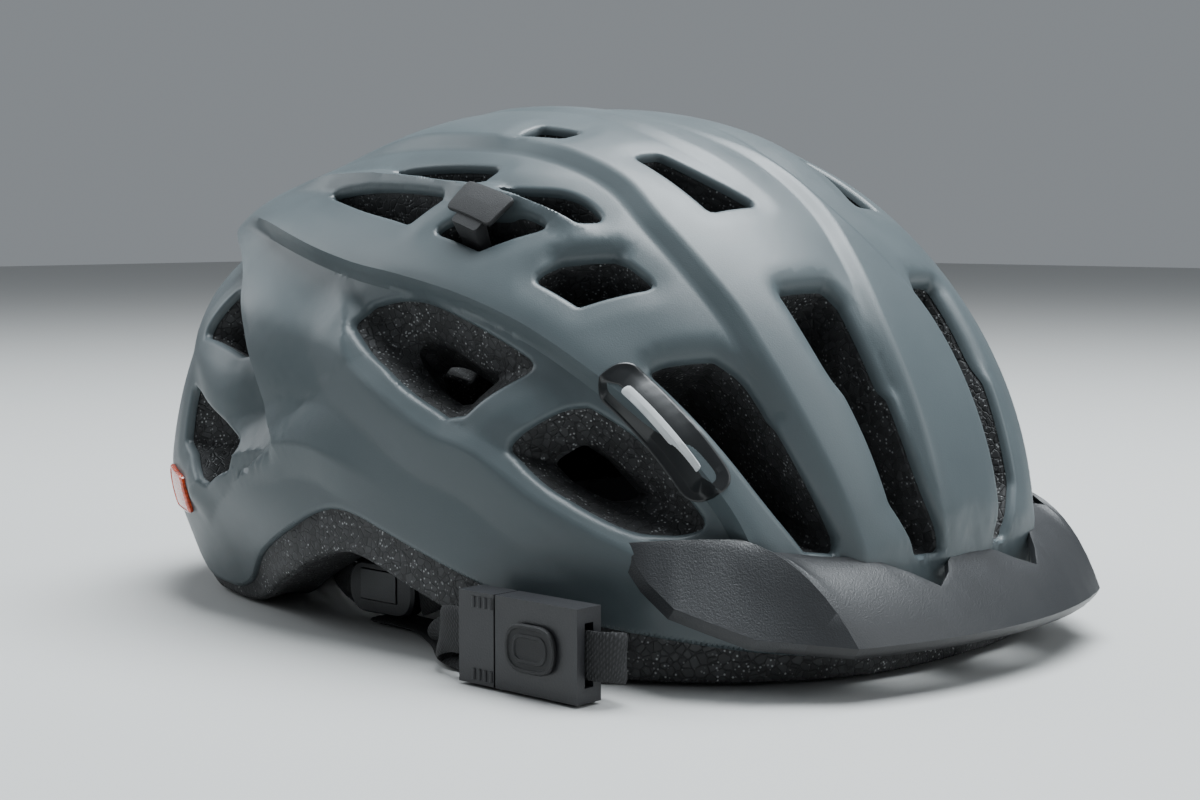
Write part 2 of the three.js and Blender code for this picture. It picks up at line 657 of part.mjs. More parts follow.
// Strap divider: a rounded plate on edge with a window that its cam lever closes.
function addDividers() {
  const { x, y, z, halfLength, halfHeight, halfWidth } = DIVIDER;
  const ends = [-1, 1].map((s) => {
    const disc = new THREE.CylinderGeometry(halfHeight, halfHeight, 2 * halfWidth, 20);
    disc.rotateZ(Math.PI / 2);
    disc.translate(x, y + s * (halfLength - halfHeight), z);
    return toManifold(disc);
  });
  const window = boxSolid([x - 9, y - 8, z - 4], [x - halfWidth + 1.8, y + 9, z + 6]);
  const body = ends[0].add(ends[1]).add(boxSolid(
    [x - halfWidth, y - halfLength + halfHeight, z - halfHeight],
    [x + halfWidth, y + halfLength - halfHeight, z + halfHeight],
  ));
  addPair('strap_divider', toGeometry(body.subtract(window)), 'plastic');
  const lever = boxSolid(
    [x - halfWidth - 0.4, y - 7.6, z - 3.6],
    [x - halfWidth + 1.5, y + 8.6, z + 5.6],
  );
  addPair('cam_lever', toGeometry(lever), 'plastic');
}

// Side-release buckle on edge below the right rim: the tongue comes out backwards.
// All lengths run back from its front end, and all heights up from the floor.
const BUCKLE = { x: -110, front: -108, low: FLOOR + 0.4, height: 25, thickness: 9, wall: 2, rail: 4 };
const SOCKET = { length: 30, barEnd: 7.5, roomFrom: 10, roomTo: 32 };
const TONGUE = { prongFrom: 11, from: 30.6, barFrom: 36.5, to: 44 };
const BUCKLE_PAD = { from: 7, to: 25, inset: 6, thickness: 1.4 };
const SLOT_HALF = 1.6;

// A block of the buckle: y from its front end, halfThickness across, inset from its two edges.
function buckleBlock(from, to, halfThickness, inset) {
  const { x, front, low, height } = BUCKLE;
  return boxSolid(
    [x - halfThickness, front + from, low + inset],
    [x + halfThickness, front + to, low + height - inset],
  );
}

function addBuckle() {
  const half = BUCKLE.thickness / 2;
  const edge = BUCKLE.wall + 3;
  const room = buckleBlock(SOCKET.roomFrom, SOCKET.roomTo, half - BUCKLE.wall, edge - 2 * GAP);
  const frontSlot = buckleBlock(-2, SOCKET.barEnd, SLOT_HALF, BUCKLE.rail);
  const socket = buckleBlock(0, SOCKET.length, half, 0).subtract(room).subtract(frontSlot);
  addPart('buckle_socket', toGeometry(socket), 'plastic');
  const head = buckleBlock(TONGUE.from, TONGUE.to, half, 0);
  const prong = buckleBlock(TONGUE.prongFrom, SOCKET.roomTo, half - BUCKLE.wall - 0.4, edge);
  const backSlot = buckleBlock(TONGUE.barFrom, TONGUE.to + 2, SLOT_HALF, BUCKLE.rail);
  addPart('buckle_tongue', toGeometry(head.add(prong).subtract(backSlot)), 'plastic');
  const pad = buckleBlock(BUCKLE_PAD.from, BUCKLE_PAD.to, BUCKLE_PAD.thickness / 2, BUCKLE_PAD.inset);
  const face = -half - GAP - BUCKLE_PAD.thickness / 2;
  addPart('buckle_pad', toGeometry(pad.translate([face, 0, 0])), 'badge');
}

// Chin straps: the right one runs from the divider under the rim to the front of the socket,
// the left one from the back of the tongue under the rim and across the opening.
function addChinStraps() {
  const { x, front, low, height } = BUCKLE;
  const centre = low + height / 2;
  const flat = FLOOR + 1.1;
  const over = flat + 2.6;
  const right = strap([
    [[x, front + 6.8, centre], [0, 0, 1]],
    [[x, front - 2, centre], [0, 0, 1]],
    [[x + 2.5, front - 6.5, centre], [0, 0, 1]],
    [[x + 6.5, front - 6, centre - 1], [0, 0, 1]],
    [[x + 8.5, front + 4, centre - 3], [0, 0, 1]],
    [[x + 8, front + 20, FLOOR + 8.5], [0, 0, 1]],
    [[x + 7.5, front + 42, FLOOR + 7.1], [0, 0, 1]],
    [[x + 10.6, front + 52, FLOOR + 2.6], [0.85, 0, 0.34]],
    [[x + 13, front + 62, flat], [1, -0.3, 0]],
    [[x + 26, front + 80, flat], [1, -0.3, 0]],
    [[x + 37, front + 102, flat], [1, 0, 0]],
    [[DIVIDER.x, DIVIDER.y, flat], [1, 0, 0]],
  ]);
  addPart('chin_strap_right', right, 'webbing');
  const left = strap([
    [[x, front + 37.2, centre], [0, 0, 1]],
    [[x, front + 48, centre], [0, 0, 1]],
    [[x + 1.5, front + 56, centre - 1], [0, 0, 1]],
    [[x + 6, front + 62, FLOOR + 8.4], [0.5, 0.2, 0.9]],
    [[x + 14, front + 68, over + 1.5], [0.4, 1, 0]],
    [[x + 30, front + 74, over], [-0.3, 1, 0]],
    [[x + 50, front + 81, over], [-0.3, 1, 0]],
    [[-30, KEEPER.y, over], [0, 1, 0]],
    [[30, KEEPER.y, over], [0, 1, 0]],
    [[50, KEEPER.y + 8, flat], [-0.3, 1, 0]],
    [[-DIVIDER.x - DIVIDER.halfWidth - 1, DIVIDER.y, flat], [-0.1, 1, 0]],
  ]);
  addPart('chin_strap_left', left, 'webbing');
  const ring = boxSolid(
    [-KEEPER.halfLength, KEEPER.y - KEEPER.halfWidth, FLOOR + 0.4],
    [KEEPER.halfLength, KEEPER.y + KEEPER.halfWidth, over + 3],
  );
  const hole = boxSolid(
    [-KEEPER.halfLength - 1, KEEPER.y - KEEPER.halfWidth + KEEPER.wall, over - 1.4],
    [KEEPER.halfLength + 1, KEEPER.y + KEEPER.halfWidth - KEEPER.wall, over + 1.6],
  );
  addPart('strap_keeper', toGeometry(ring.subtract(hole)), 'plastic');
}

addShellAndFoam();
addVisor();
addTrim();
addPads();
addFrontBelt();
addPart('rear_band_right', rearBand(1), 'plastic');
addPart('rear_band_left', rearBand(-1), 'plastic');
addDialUnit();
addCradle();
addStrapAnchors();
addSideStraps();
addDividers();
addBuckle();
addChinStraps();

export default helmet;
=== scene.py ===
"""Cycling helmet: ribbed shell, bead-foam liner, visor, fit system, pads, straps and buckle.

Head-form dimensions are millimetres from the centre of the head form, whose ear axis is X.
The helmet faces -Y, the wearer's right is -X and the rim rests on Z = 0 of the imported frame.
"""

import math

import bmesh
import bpy
import numpy as np
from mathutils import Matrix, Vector
from mathutils.geometry import delaunay_2d_cdt


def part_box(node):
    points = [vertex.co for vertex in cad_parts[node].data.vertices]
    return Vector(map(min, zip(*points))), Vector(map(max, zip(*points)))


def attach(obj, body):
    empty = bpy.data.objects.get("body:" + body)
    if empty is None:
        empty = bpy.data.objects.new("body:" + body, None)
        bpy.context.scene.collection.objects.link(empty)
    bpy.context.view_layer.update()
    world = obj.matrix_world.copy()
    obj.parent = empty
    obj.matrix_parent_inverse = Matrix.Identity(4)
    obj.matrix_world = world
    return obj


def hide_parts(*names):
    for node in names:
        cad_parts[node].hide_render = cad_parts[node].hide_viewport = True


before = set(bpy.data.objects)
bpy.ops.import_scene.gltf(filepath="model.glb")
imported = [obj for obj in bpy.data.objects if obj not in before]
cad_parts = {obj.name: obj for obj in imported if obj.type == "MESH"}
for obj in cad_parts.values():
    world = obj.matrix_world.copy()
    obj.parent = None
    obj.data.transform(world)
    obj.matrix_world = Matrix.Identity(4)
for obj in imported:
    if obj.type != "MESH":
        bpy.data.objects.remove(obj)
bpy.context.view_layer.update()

# ---------------------------------------------------------------- driving dimensions

MM = 0.001
REST_DEPTH = 26.0  # head centre above the surface that the rim rests on
LINER_REACH = 149.5  # back of the liner behind the head centre
SHELL_THICKNESS = 1.2
FOAM_INSET = 1.6  # foam surface below the outside of the shell
CHART = 130.0  # millimetres of flat chart for each radian from the top of the head
ON_MIDDLE = 0.001  # chart points nearer than this to the mid-plane lie on it

liner_low, liner_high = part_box("eps_liner")
HEAD = np.array([0.0, liner_high[1] / MM - LINER_REACH, liner_low[2] / MM + REST_DEPTH])

# A surface is a mid-plane profile, swept about the ear axis and rounded towards the ears.
# profile: radius in the mid-plane every 30 degrees of pitch, from -90 (straight down);
# pitch 0 looks forward, 90 up and 180 back. side: -90 is the right ear, 90 the left.
OUTER = {
    "profile": (140, 145, 150, 151, 141, 134, 127, 138, 150, 152, 148, 144),
    "half_width": 104.0,
    "power": 2.6,
    "tuck": 0.15,
}
INNER = {
    "profile": (104, 108, 113, 110, 106, 102, 99, 103, 109, 111, 112, 106),
    "half_width": 77.0,
    "power": 2.25,
    "tuck": 0.08,
}

# The lower rear lobes tuck in towards the nape below this height and behind this line.
TUCK_TOP = 20.0
TUCK_START = 10.0
TUCK_LENGTH = 60.0

# Rim lines in the side view, (y, z) from the head centre.
FOAM_RIM = (
    (-200, -26), (-85, -26), (-65, -18), (-33, -8), (-8, 1), (4, 1), (30, -11), (66, -26),
    (108, -26), (126, -14), (142, 0), (200, 4),
)
SHELL_RIM = (
    (-200, -19), (-142, -19), (-103, -12), (-79, -9), (-43, 2), (-20, 9), (-4, 14), (6, 14),
    (30, 2), (52, -9), (70, -22), (106, -22), (124, -9), (142, 6), (200, 12),
)

# Vent outlines on the right half, (pitch, side) in degrees, with the radius of their corners.
VENTS = {
    "brow_inner": (((35, -15.5), (34.5, -8.3), (32, -7.3), (20, -7.8), (8.5, -6.5), (2.5, -4.6),
                    (2.5, -8.5), (8.5, -12), (16, -13.2), (26.5, -15)), 2),
    "crown_inner": (((62.5, -17.3), (61.5, -13.9), (55.5, -12.7), (47.6, -9.6), (48.2, -16.7)), 2),
    "top_inner": (((80, -21.5), (80, -17.5), (72.7, -16.6), (73.4, -19.6)), 2),
    "brow_outer": (((31, -33.9), (31.2, -32), (29.5, -26.2), (26, -24), (16, -21.9), (5.3, -18.6),
                    (3.8, -18.8), (4.3, -22.2), (10, -25.8), (19, -29.7)), 2),
    "middle": (((54.3, -39), (54.3, -35), (49.4, -29.5), (41.4, -28), (45, -36.9)), 2),
    "upper_inner": (((74.5, -31.6), (68.5, -29.5), (63.8, -27.2), (59.2, -26.7), (55, -27.4),
                     (57.3, -30), (64, -31.1)), 2),
    "upper_outer": (((79.5, -40.2), (75.6, -36.3), (66, -33), (59.8, -32.5), (67, -40.2)), 2),
    "rear_inner": (((98.7, -30.2), (94.8, -29.4), (84.7, -28.5), (77.2, -27.6), (77.8, -31.7), (83.5, -32.2),
                    (91.8, -31.8)), 2),
    "rear_outer": (((113, -31.5), (98.5, -33.2), (81.8, -34.3), (86, -39.7), (99.7, -37.4)), 2),
    "side_front": (((29.8, -53.2), (31, -51), (32, -44.7), (30.5, -42), (22, -37.4), (16.7, -35.6),
                    (8.3, -31.9), (7.4, -35), (8.1, -40), (11.9, -44.4), (19.2, -50)), 2.5),
    "side_rear": (((92.4, -54.8), (90.5, -51.6), (83.3, -50), (75.8, -49.1), (57.7, -48.1), (41.8, -45.1),
                   (42.5, -56.3), (46, -58.9), (62.5, -60.9), (84, -58.4)), 3),
    "shoulder": (((147, -37), (137, -35), (129, -43), (128.5, -52), (137, -49)), 3),
    "nape_side": (((155, -39.5), (150.5, -59.5), (160, -59.5), (168.5, -54), (165, -42)), 3),
    "nape_inner": (((128, -20), (126, -7), (112, -6), (112, -18)), 4),
    "nape_low": (((160, -22), (158, -7), (140, -7), (142, -24)), 4),
}
CORNER_TURN = 24.0  # an outline that turns by less than this many degrees has no corner there

# Where a vent opens inside the foam: its size against the outside, its shift in degrees, and the
# share of the foam's depth by which it has narrowed to that size.
VENT_MOUTHS = {
    "brow_inner": (0.82, (1.0, 0.0), 1.0),
    "brow_outer": (0.82, (1.5, 0.0), 1.0),
    "side_front": (0.62, (2.0, 1.0), 0.4),
    "side_rear": (0.62, (-3.5, 1.0), 0.4),
    "rear_outer": (0.7, (-3.0, 0.0), 0.5),
    "nape_side": (0.7, (-2.0, 2.0), 0.5),
}
PLAIN_MOUTH = (0.84, (0.0, 0.0), 1.0)


# ---------------------------------------------------------------- numbers on the head form

def smooth(value, low, high):
    """0 below low, 1 above high, smooth between."""
    t = np.clip((np.asarray(value, float) - low) / (high - low), 0.0, 1.0)
    return t * t * (3.0 - 2.0 * t)


def profile_radius(profile, pitch):
    place = (np.asarray(pitch, float) + 90.0) / 30.0
    whole = np.floor(place).astype(int)
    u = place - whole
    weights = (
        (1 - u) ** 3 / 6,
        (3 * u**3 - 6 * u**2 + 4) / 6,
        (-3 * u**3 + 3 * u**2 + 3 * u + 1) / 6,
        u**3 / 6,
    )
    values = np.array(profile, float)
    return sum(w * values[(whole - 1 + k) % len(values)] for k, w in enumerate(weights))


def form(surface, pitch, side, inset=0.0):
    """Points of a head-form surface, in millimetres from the head centre."""
    pitch = np.asarray(pitch, float)
    p = np.radians(pitch)
    s = np.radians(np.asarray(side, float))
    mid = profile_radius(surface["profile"], pitch)
    power = surface["power"]
    across = np.abs(np.sin(s) / surface["half_width"]) ** power
    along = np.abs(np.cos(s) / mid) ** power
    radius = (across + along) ** (-1.0 / power) - inset
    x = radius * np.sin(s)
    reach = radius * np.cos(s)
    y = -reach * np.cos(p)
    z = reach * np.sin(p)
    low = smooth(TUCK_TOP - z, 0.0, TUCK_TOP + REST_DEPTH)
    back = smooth(y - TUCK_START, 0.0, TUCK_LENGTH)
    return np.stack([x * (1.0 - surface["tuck"] * low * back), y, z], axis=-1)


def chart_of(angles):
    """(pitch, side) in degrees to the flat chart, whose centre is the top of the head."""
    angles = np.asarray(angles, float)
    p = np.radians(angles[..., 0])
    s = np.radians(angles[..., 1])
    x = np.sin(s)
    y = -np.cos(s) * np.cos(p)
    z = np.cos(s) * np.sin(p)
    flat = np.maximum(np.hypot(x, y), 1e-9)
    scale = CHART * np.arccos(np.clip(z, -1, 1)) / flat
    return np.stack([x * scale, y * scale], axis=-1)


def angles_of(chart):
    """The flat chart back to (pitch, side) in degrees."""
    chart = np.asarray(chart, float)
    length = np.maximum(np.hypot(chart[..., 0], chart[..., 1]), 1e-9)
    tilt = length / CHART
    x = np.sin(tilt) * chart[..., 0] / length
    y = np.sin(tilt) * chart[..., 1] / length
    z = np.cos(tilt)
    pitch = np.degrees(np.arctan2(z, -y))
    pitch = np.where(pitch < -90.0, pitch + 360.0, pitch)
    return np.stack([pitch, np.degrees(np.arcsin(np.clip(x, -1, 1)))], axis=-1)


def on_form(surface, chart, inset=0.0):
    angles = angles_of(chart)
    return form(surface, angles[..., 0], angles[..., 1], inset)


def form_normal(surface, chart):
    step = 0.5
    east = on_form(surface, chart + [step, 0]) - on_form(surface, chart - [step, 0])
    north = on_form(surface, chart + [0, step]) - on_form(surface, chart - [0, step])
    normal = np.cross(east, north)
    return normal / np.linalg.norm(normal, axis=-1, keepdims=True)


def rim_height(line, y):
    """Height of a rim line, with its corners eased."""
    ys, zs = np.array(line, float).T
    ease = (-9.0, -6.0, -3.0, 0.0, 3.0, 6.0, 9.0)
    return sum(np.interp(np.asarray(y, float) + d, ys, zs) for d in ease) / len(ease)


def rim_points(surface, line, count):
    """The right half of a rim on the chart, from the front of the mid-plane to the back."""
    turn = np.linspace(-math.pi / 2, -3 * math.pi / 2, count)
    heading = np.stack([np.cos(turn), np.sin(turn)], axis=-1)
    heading[[0, -1], 0] = 0.0
    low = np.full(count, 0.9)
    high = np.full(count, 2.4)
    for _ in range(30):
        middle = (low + high) / 2
        point = on_form(surface, heading * (CHART * middle)[:, None])
        above = point[:, 2] > rim_height(line, point[:, 1])
        low = np.where(above, middle, low)
        high = np.where(above, high, middle)
    return heading * (CHART * low)[:, None]


def resample(points, spacing, closed):
    points = np.asarray(points, float)
    if closed:
        points = np.vstack([points, points[:1]])
    lengths = np.linalg.norm(np.diff(points, axis=0), axis=1)
    place = np.concatenate([[0.0], np.cumsum(lengths)])
    count = max(3, int(round(place[-1] / spacing)))
    wanted = np.linspace(0.0, place[-1], count + 1)
    result = np.stack([np.interp(wanted, place, points[:, k]) for k in range(points.shape[1])], axis=-1)
    return result[:-1] if closed else result


def rounded(points, radius, steps=6):
    """A closed polygon with its corners rounded, and its gentle bends run into curves."""
    points = np.asarray(points, float)
    result = []
    for before, corner, after in zip(np.roll(points, 1, 0), points, np.roll(points, -1, 0)):
        to_before = before - corner
        to_after = after - corner
        length_before = np.linalg.norm(to_before)
        length_after = np.linalg.norm(to_after)
        cosine = np.dot(to_before, to_after) / (length_before * length_after)
        half = math.acos(max(-1.0, min(1.0, cosine))) / 2
        most = 0.48 * min(length_before, length_after)
        gentle = 2 * half > math.radians(180.0 - CORNER_TURN)
        cut = most if gentle else min(radius / max(math.tan(half), 0.05), most)
        first = corner + to_before / length_before * cut
        last = corner + to_after / length_after * cut
        for t in np.linspace(0.0, 1.0, steps):
            result.append((1 - t) ** 2 * first + 2 * t * (1 - t) * corner + t**2 * last)
    return np.array(result)


def offset(outline, distance):
    """A closed outline moved outwards."""
    run = np.roll(outline, -1, 0) - np.roll(outline, 1, 0)
    run /= np.linalg.norm(run, axis=1, keepdims=True)
    area = np.sum(outline[:, 0] * np.roll(outline[:, 1], -1) - outline[:, 1] * np.roll(outline[:, 0], -1))
    out = np.stack([run[:, 1], -run[:, 0]], axis=-1) * math.copysign(1.0, area)
    return outline + out * distance


def inside(points, outline):
    """True for each point within a closed outline."""
    x, y = points[:, 0], points[:, 1]
    result = np.zeros(len(points), bool)
    for (x0, y0), (x1, y1) in zip(outline, np.roll(outline, -1, 0)):
        if y0 != y1:
            crosses = (y0 > y) != (y1 > y)
            result ^= crosses & (x < (x1 - x0) * (y - y0) / (y1 - y0) + x0)
    return result


def nearest(points, targets):
    """Index of the nearest target to each point, and its distance."""
    index = np.empty(len(points), int)
    distance = np.empty(len(points))
    block = 2000
    for start in range(0, len(points), block):
        part = points[start:start + block]
        gap = np.linalg.norm(part[:, None, :] - targets[None, :, :], axis=2)
        index[start:start + block] = gap.argmin(axis=1)
        distance[start:start + block] = gap.min(axis=1)
    return index, distance


VENT_OUTLINES = {
    name: resample(rounded(chart_of(corners), radius), 1.3, True) for name, (corners, radius) in VENTS.items()
}


# ---------------------------------------------------------------- relief of the shell

# Lines run from the back to the front, so that their left side is the one nearer the crown.
RIB_STEP = ((120, -21.3), (103, -23.2), (88, -23.9), (78, -23.3), (67.5, -22.7), (58.5, -22.6),
             (50.5, -23.7), (41.5, -23.6), (33, -22.8), (26, -22.2), (17, -20.6), (5, -17.6),
             (-3, -15.5))
CENTRE_RIDGE = ((80, -3), (66, -2.1), (57.5, -0.4), (46, -0.6), (37, -2.7), (27.5, -4.8), (17, -5.4),
                 (8, -5.3), (0, -4.3))
CROWN_FOLD = ((112, -8.5), (100, -9), (85, -9), (74, -9.5), (64, -10), (54, -8.5), (44, -7))
UPPER_RIB = ((128, -24), (110, -29.5), (94.6, -32), (79.6, -32.9), (63, -31.2), (52.2, -29.5))
SIDE_VALLEY = ((133, -26.3), (114, -39.7), (97, -45.9), (79.5, -47.3), (62.5, -46), (48, -43.2),
                (35.5, -39.8), (24.5, -35.6), (14.5, -31.3), (7.5, -28.6), (-2, -26))
SIDE_LEDGE = ((104, -47), (95, -53.1), (88, -60), (70, -62.8), (47, -61.8), (32, -57), (17.5, -51),
               (9.5, -44.6), (4, -38.5), (-2, -35))
REAR_EDGE = ((137, -14), (133.8, -26.5), (128, -38), (126.2, -45), (126.2, -55), (129.4, -64.3),
              (130.2, -67.8), (135, -72))
LOBE_CREASE = ((178, -46), (165, -54), (150, -62), (138, -67), (128, -69), (110, -72), (86, -75),
                (60, -75), (32, -72))
RELIEF_LINES = (
    RIB_STEP, CENTRE_RIDGE, CROWN_FOLD, UPPER_RIB, SIDE_VALLEY, SIDE_LEDGE, REAR_EDGE, LOBE_CREASE,
)
RELIEF_ROWS = (-5.0, -3.8, -2.6, -1.3, 0.0, 1.3, 2.6, 3.8, 5.0)  # mesh rows beside each line, mm
LINE_STEP = 1.4

# Steps rise across a line: height, the slope's two edges beside the line in mm, and the shares of
# the line's length over which the step fades in and out.
STEPS = (
    (RIB_STEP, 3.2, -2.6, 2.6, 0.2, 0.06),
    (CENTRE_RIDGE, 2.2, -3.8, 0.0, 0.4, 0.02),
)
# Ridges fall away on both sides of a line: height, width on the left and right, and the two fades.
RIDGES = (
    (UPPER_RIB, 2.8, 5.0, 5.0, 0.25, 0.15),
    (SIDE_LEDGE, 2.2, 5.0, 14.0, 0.12, 0.05),
    (LOBE_CREASE, 3.6, 13.0, 10.0, 0.1, 0.55),
)
FOLD = {"height": 1.3, "slope": (-2.6, 1.3), "fade": (3.0, 24.0), "ends": (0.4, 0.25)}
VALLEY = {"depth": 4.2, "slope": (0.0, 3.8), "fade": (7.0, 26.0), "ends": (0.16, 0.05)}
VALLEY_SHOULDER = {"height": 1.6, "width": 10.0, "slope": (-2.6, 0.0)}
REAR_DROP = {
    "depth": 10.0, "slope": (0.0, 5.0), "fade": (7.0, 40.0), "start": (0.02, 0.25), "end": (0.8, 1.0),
}
REAR_SHOULDER = {"height": 7.0, "width": 26.0, "fade": (14.0, 46.0), "ends": (0.2, 0.4)}
VENT_SINK = 0.7  # the shell sinks a little towards every vent
VENT_SINK_WIDTH = 8.0
VENT_BEVELS = {"brow_inner": 3.2, "brow_outer": 4.2, "middle": 4.4, "upper_outer": 3.0}
VENT_BEVEL_DEPTH = 2.2
VENT_BEVEL_TURN = (0.25, 0.7)  # a bevel fades in over this turn towards the crown


def line_samples(line):
    """A line on the form: its points, and unit vectors across it and along it."""
    chart = resample(smooth_line(chart_of(line)), LINE_STEP, False)
    points = on_form(OUTER, chart)
    along = np.gradient(points, axis=0)
    along /= np.linalg.norm(along, axis=1, keepdims=True)
    across = np.cross(form_normal(OUTER, chart), along)
    return points, across, along


def chart_below(points):
    """The chart place of points near the outer form, in millimetres from the head centre."""
    x, y, z = points.T
    low = smooth(TUCK_TOP - z, 0.0, TUCK_TOP + REST_DEPTH)
    back = smooth(y - TUCK_START, 0.0, TUCK_LENGTH)
    side = np.degrees(np.arctan2(x / (1.0 - OUTER["tuck"] * low * back), np.hypot(y, z)))
    pitch = np.degrees(np.arctan2(z, -y))
    return chart_of(np.stack([np.where(pitch < -90.0, pitch + 360.0, pitch), side], axis=-1))


def guide_rows(line):
    points, across, _ = line_samples(line)
    return [chart_below(points + across * d) for d in RELIEF_ROWS]


def smooth_line(points, steps=8):
    """A Catmull-Rom curve through the points."""
    points = np.asarray(points, float)
    padded = np.vstack([2 * points[0] - points[1], points, 2 * points[-1] - points[-2]])
    result = []
    for a, b, c, d in zip(padded, padded[1:], padded[2:], padded[3:]):
        for t in np.linspace(0.0, 1.0, steps, endpoint=False):
            result.append(0.5 * (2 * b + (c - a) * t + (2 * a - 5 * b + 4 * c - d) * t**2
                                 + (3 * b - a - 3 * c + d) * t**3))
    result.append(points[-1])
    return np.array(result)


def beside(points, line):
    """Signed distance from a line, positive on its left, and the place along it from 0 to 1."""
    samples, across, along = line_samples(line)
    index, _ = nearest(points, samples)
    gap = points - samples[index]
    side = np.einsum("ij,ij->i", gap, across[index])
    beyond = np.maximum(np.abs(np.einsum("ij,ij->i", gap, along[index])) - LINE_STEP, 0.0)
    return np.copysign(np.hypot(side, beyond), side), index / (len(samples) - 1)


def ends(place, start, finish):
    """Fades in over the first share of a line and out over the last."""
    return smooth(place, 0.0, start) * (1.0 - smooth(place, 1.0 - finish, 1.0))


def tent(distance, left, right):
    """1 on the line, falling straight to 0 on either side of it."""
    return np.clip(1.0 - np.where(distance > 0, distance / left, -distance / right), 0.0, 1.0)


def bevel(distance, low, high):
    """0 below low and 1 above high, with a straight slope between."""
    return np.clip((distance - low) / (high - low), 0.0, 1.0)


def crown_fold(points):
    """A soft fold beside the centre ridge."""
    side, place = beside(points, CROWN_FOLD)
    fade = 1.0 - smooth(side, *FOLD["fade"])
    return FOLD["height"] * bevel(side, *FOLD["slope"]) * fade * ends(place, *FOLD["ends"])


def side_valley(points):
    """The long hollow above the side vents, under a low shoulder."""
    side, place = beside(points, SIDE_VALLEY)
    under = bevel(-side, *VALLEY["slope"]) * (1.0 - smooth(-side, *VALLEY["fade"]))
    shoulder = np.exp(-(np.maximum(side, 0.0) / VALLEY_SHOULDER["width"]) ** 2)
    shoulder *= bevel(side, *VALLEY_SHOULDER["slope"])
    return (VALLEY_SHOULDER["height"] * shoulder - VALLEY["depth"] * under) * ends(place, *VALLEY["ends"])


def rear_edge(points):
    """The raised end of the side panel and the steep drop behind it."""
    side, place = beside(points, REAR_EDGE)
    behind = -side
    ahead = np.exp(-(np.minimum(behind, 0.0) / REAR_SHOULDER["width"]) ** 2)
    shoulder = np.where(behind > 0.0, 1.0 - smooth(behind, *REAR_SHOULDER["fade"]), ahead)
    drop = bevel(behind, *REAR_DROP["slope"]) * (1.0 - smooth(behind, *REAR_DROP["fade"]))
    drop *= smooth(place, *REAR_DROP["start"]) * (1.0 - smooth(place, *REAR_DROP["end"]))
    shoulder *= ends(place, *REAR_SHOULDER["ends"])
    return REAR_SHOULDER["height"] * shoulder - REAR_DROP["depth"] * drop


def vent_edges(points):
    """How the shell sinks and is bevelled around its vents."""
    height = np.zeros(len(points))
    for name, outline in VENT_OUTLINES.items():
        index, distance = nearest(points, on_form(OUTER, outline))
        height -= VENT_SINK * (1.0 - smooth(distance, 0.0, VENT_SINK_WIDTH))
        if name in VENT_BEVELS:
            centre = outline.mean(axis=0)
            toward = outline[index] - centre
            crownward = -centre / np.linalg.norm(centre)
            on_top = smooth(toward @ crownward / np.linalg.norm(toward, axis=1), *VENT_BEVEL_TURN)
            height -= VENT_BEVEL_DEPTH * np.clip(1.0 - distance / VENT_BEVELS[name], 0.0, 1.0) * on_top
    return height


def relief(chart):
    """Height of the moulded shell above the plain form, at points of the chart on the right half."""
    points = on_form(OUTER, chart)
    height = crown_fold(points) + side_valley(points) + rear_edge(points) + vent_edges(points)
    for line, rise, low, high, start, finish in STEPS:
        side, place = beside(points, line)
        height += rise * bevel(side, low, high) * ends(place, start, finish)
    for line, rise, left, right, start, finish in RIDGES:
        side, place = beside(points, line)
        height += rise * tent(side, left, right) * ends(place, start, finish)
    return height


# ---------------------------------------------------------------- sheets on the chart

def hex_fill(low, high, spacing):
    rows = np.arange(low[1], high[1], spacing * math.sqrt(3) / 2)
    points = []
    for j, v in enumerate(rows):
        shift = spacing / 2 if j % 2 else 0.0
        u = np.arange(low[0] + shift, high[0], spacing)
        points.append(np.stack([u, np.full(len(u), v)], axis=-1))
    return np.vstack(points)


def far_from(points, taken, distance):
    """The points that are at least this far from all those already taken."""
    keep = np.ones(len(points), bool)
    block = 4000
    for start in range(0, len(points), block):
        part = points[start:start + block]
        gap = np.min(np.sum((part[:, None, :] - taken[None, :, :]) ** 2, axis=2), axis=1)
        keep[start:start + block] = gap > distance**2
    return points[keep]


def chart_sheet(rim, outlines, rings, spacing, guides=()):
    """Triangles of the right half of a sheet with holes: (chart points, triangles)."""
    count = max(8, int(abs(rim[0, 1] - rim[-1, 1]) / spacing))
    middle = np.stack([np.zeros(count - 1), np.linspace(rim[-1, 1], rim[0, 1], count + 1)[1:-1]], axis=-1)
    loops = [np.vstack([rim, middle])] + list(outlines)
    fixed = np.vstack(loops)
    edges = []
    start = 0
    for loop in loops:
        edges += [(start + i, start + (i + 1) % len(loop)) for i in range(len(loop))]
        start += len(loop)
    extra = [offset(outline, d) for outline in outlines for d in rings]
    rim_centre = rim.mean(axis=0)
    inward = (rim_centre - rim) / np.linalg.norm(rim_centre - rim, axis=1, keepdims=True)
    extra += [rim + inward * d for d in rings]
    extra = np.vstack(extra + list(guides))
    outer = loops[0]
    good = inside(extra, outer) & (extra[:, 0] < -0.3)
    for outline in outlines:
        good &= ~inside(extra, outline)
    extra = thin_out(far_from(extra[good], fixed, 0.3), 0.3)
    taken = np.vstack([fixed, extra])
    fill = hex_fill(outer.min(axis=0), (-0.45 * spacing, outer[:, 1].max()), spacing)
    fill = fill[inside(fill, outer)]
    for outline in outlines:
        fill = fill[~inside(fill, outline)]
    fill = far_from(fill, taken, 0.62 * spacing)
    points = np.vstack([taken, fill])
    made = delaunay_2d_cdt([Vector(p) for p in points], edges, [], 0, 1e-4)
    chart = np.array([tuple(v) for v in made[0]])
    triangles = np.array(made[2])
    centres = chart[triangles].mean(axis=1)
    keep = inside(centres, outer)
    for outline in outlines:
        keep &= ~inside(centres, outline)
    return chart, triangles[keep]


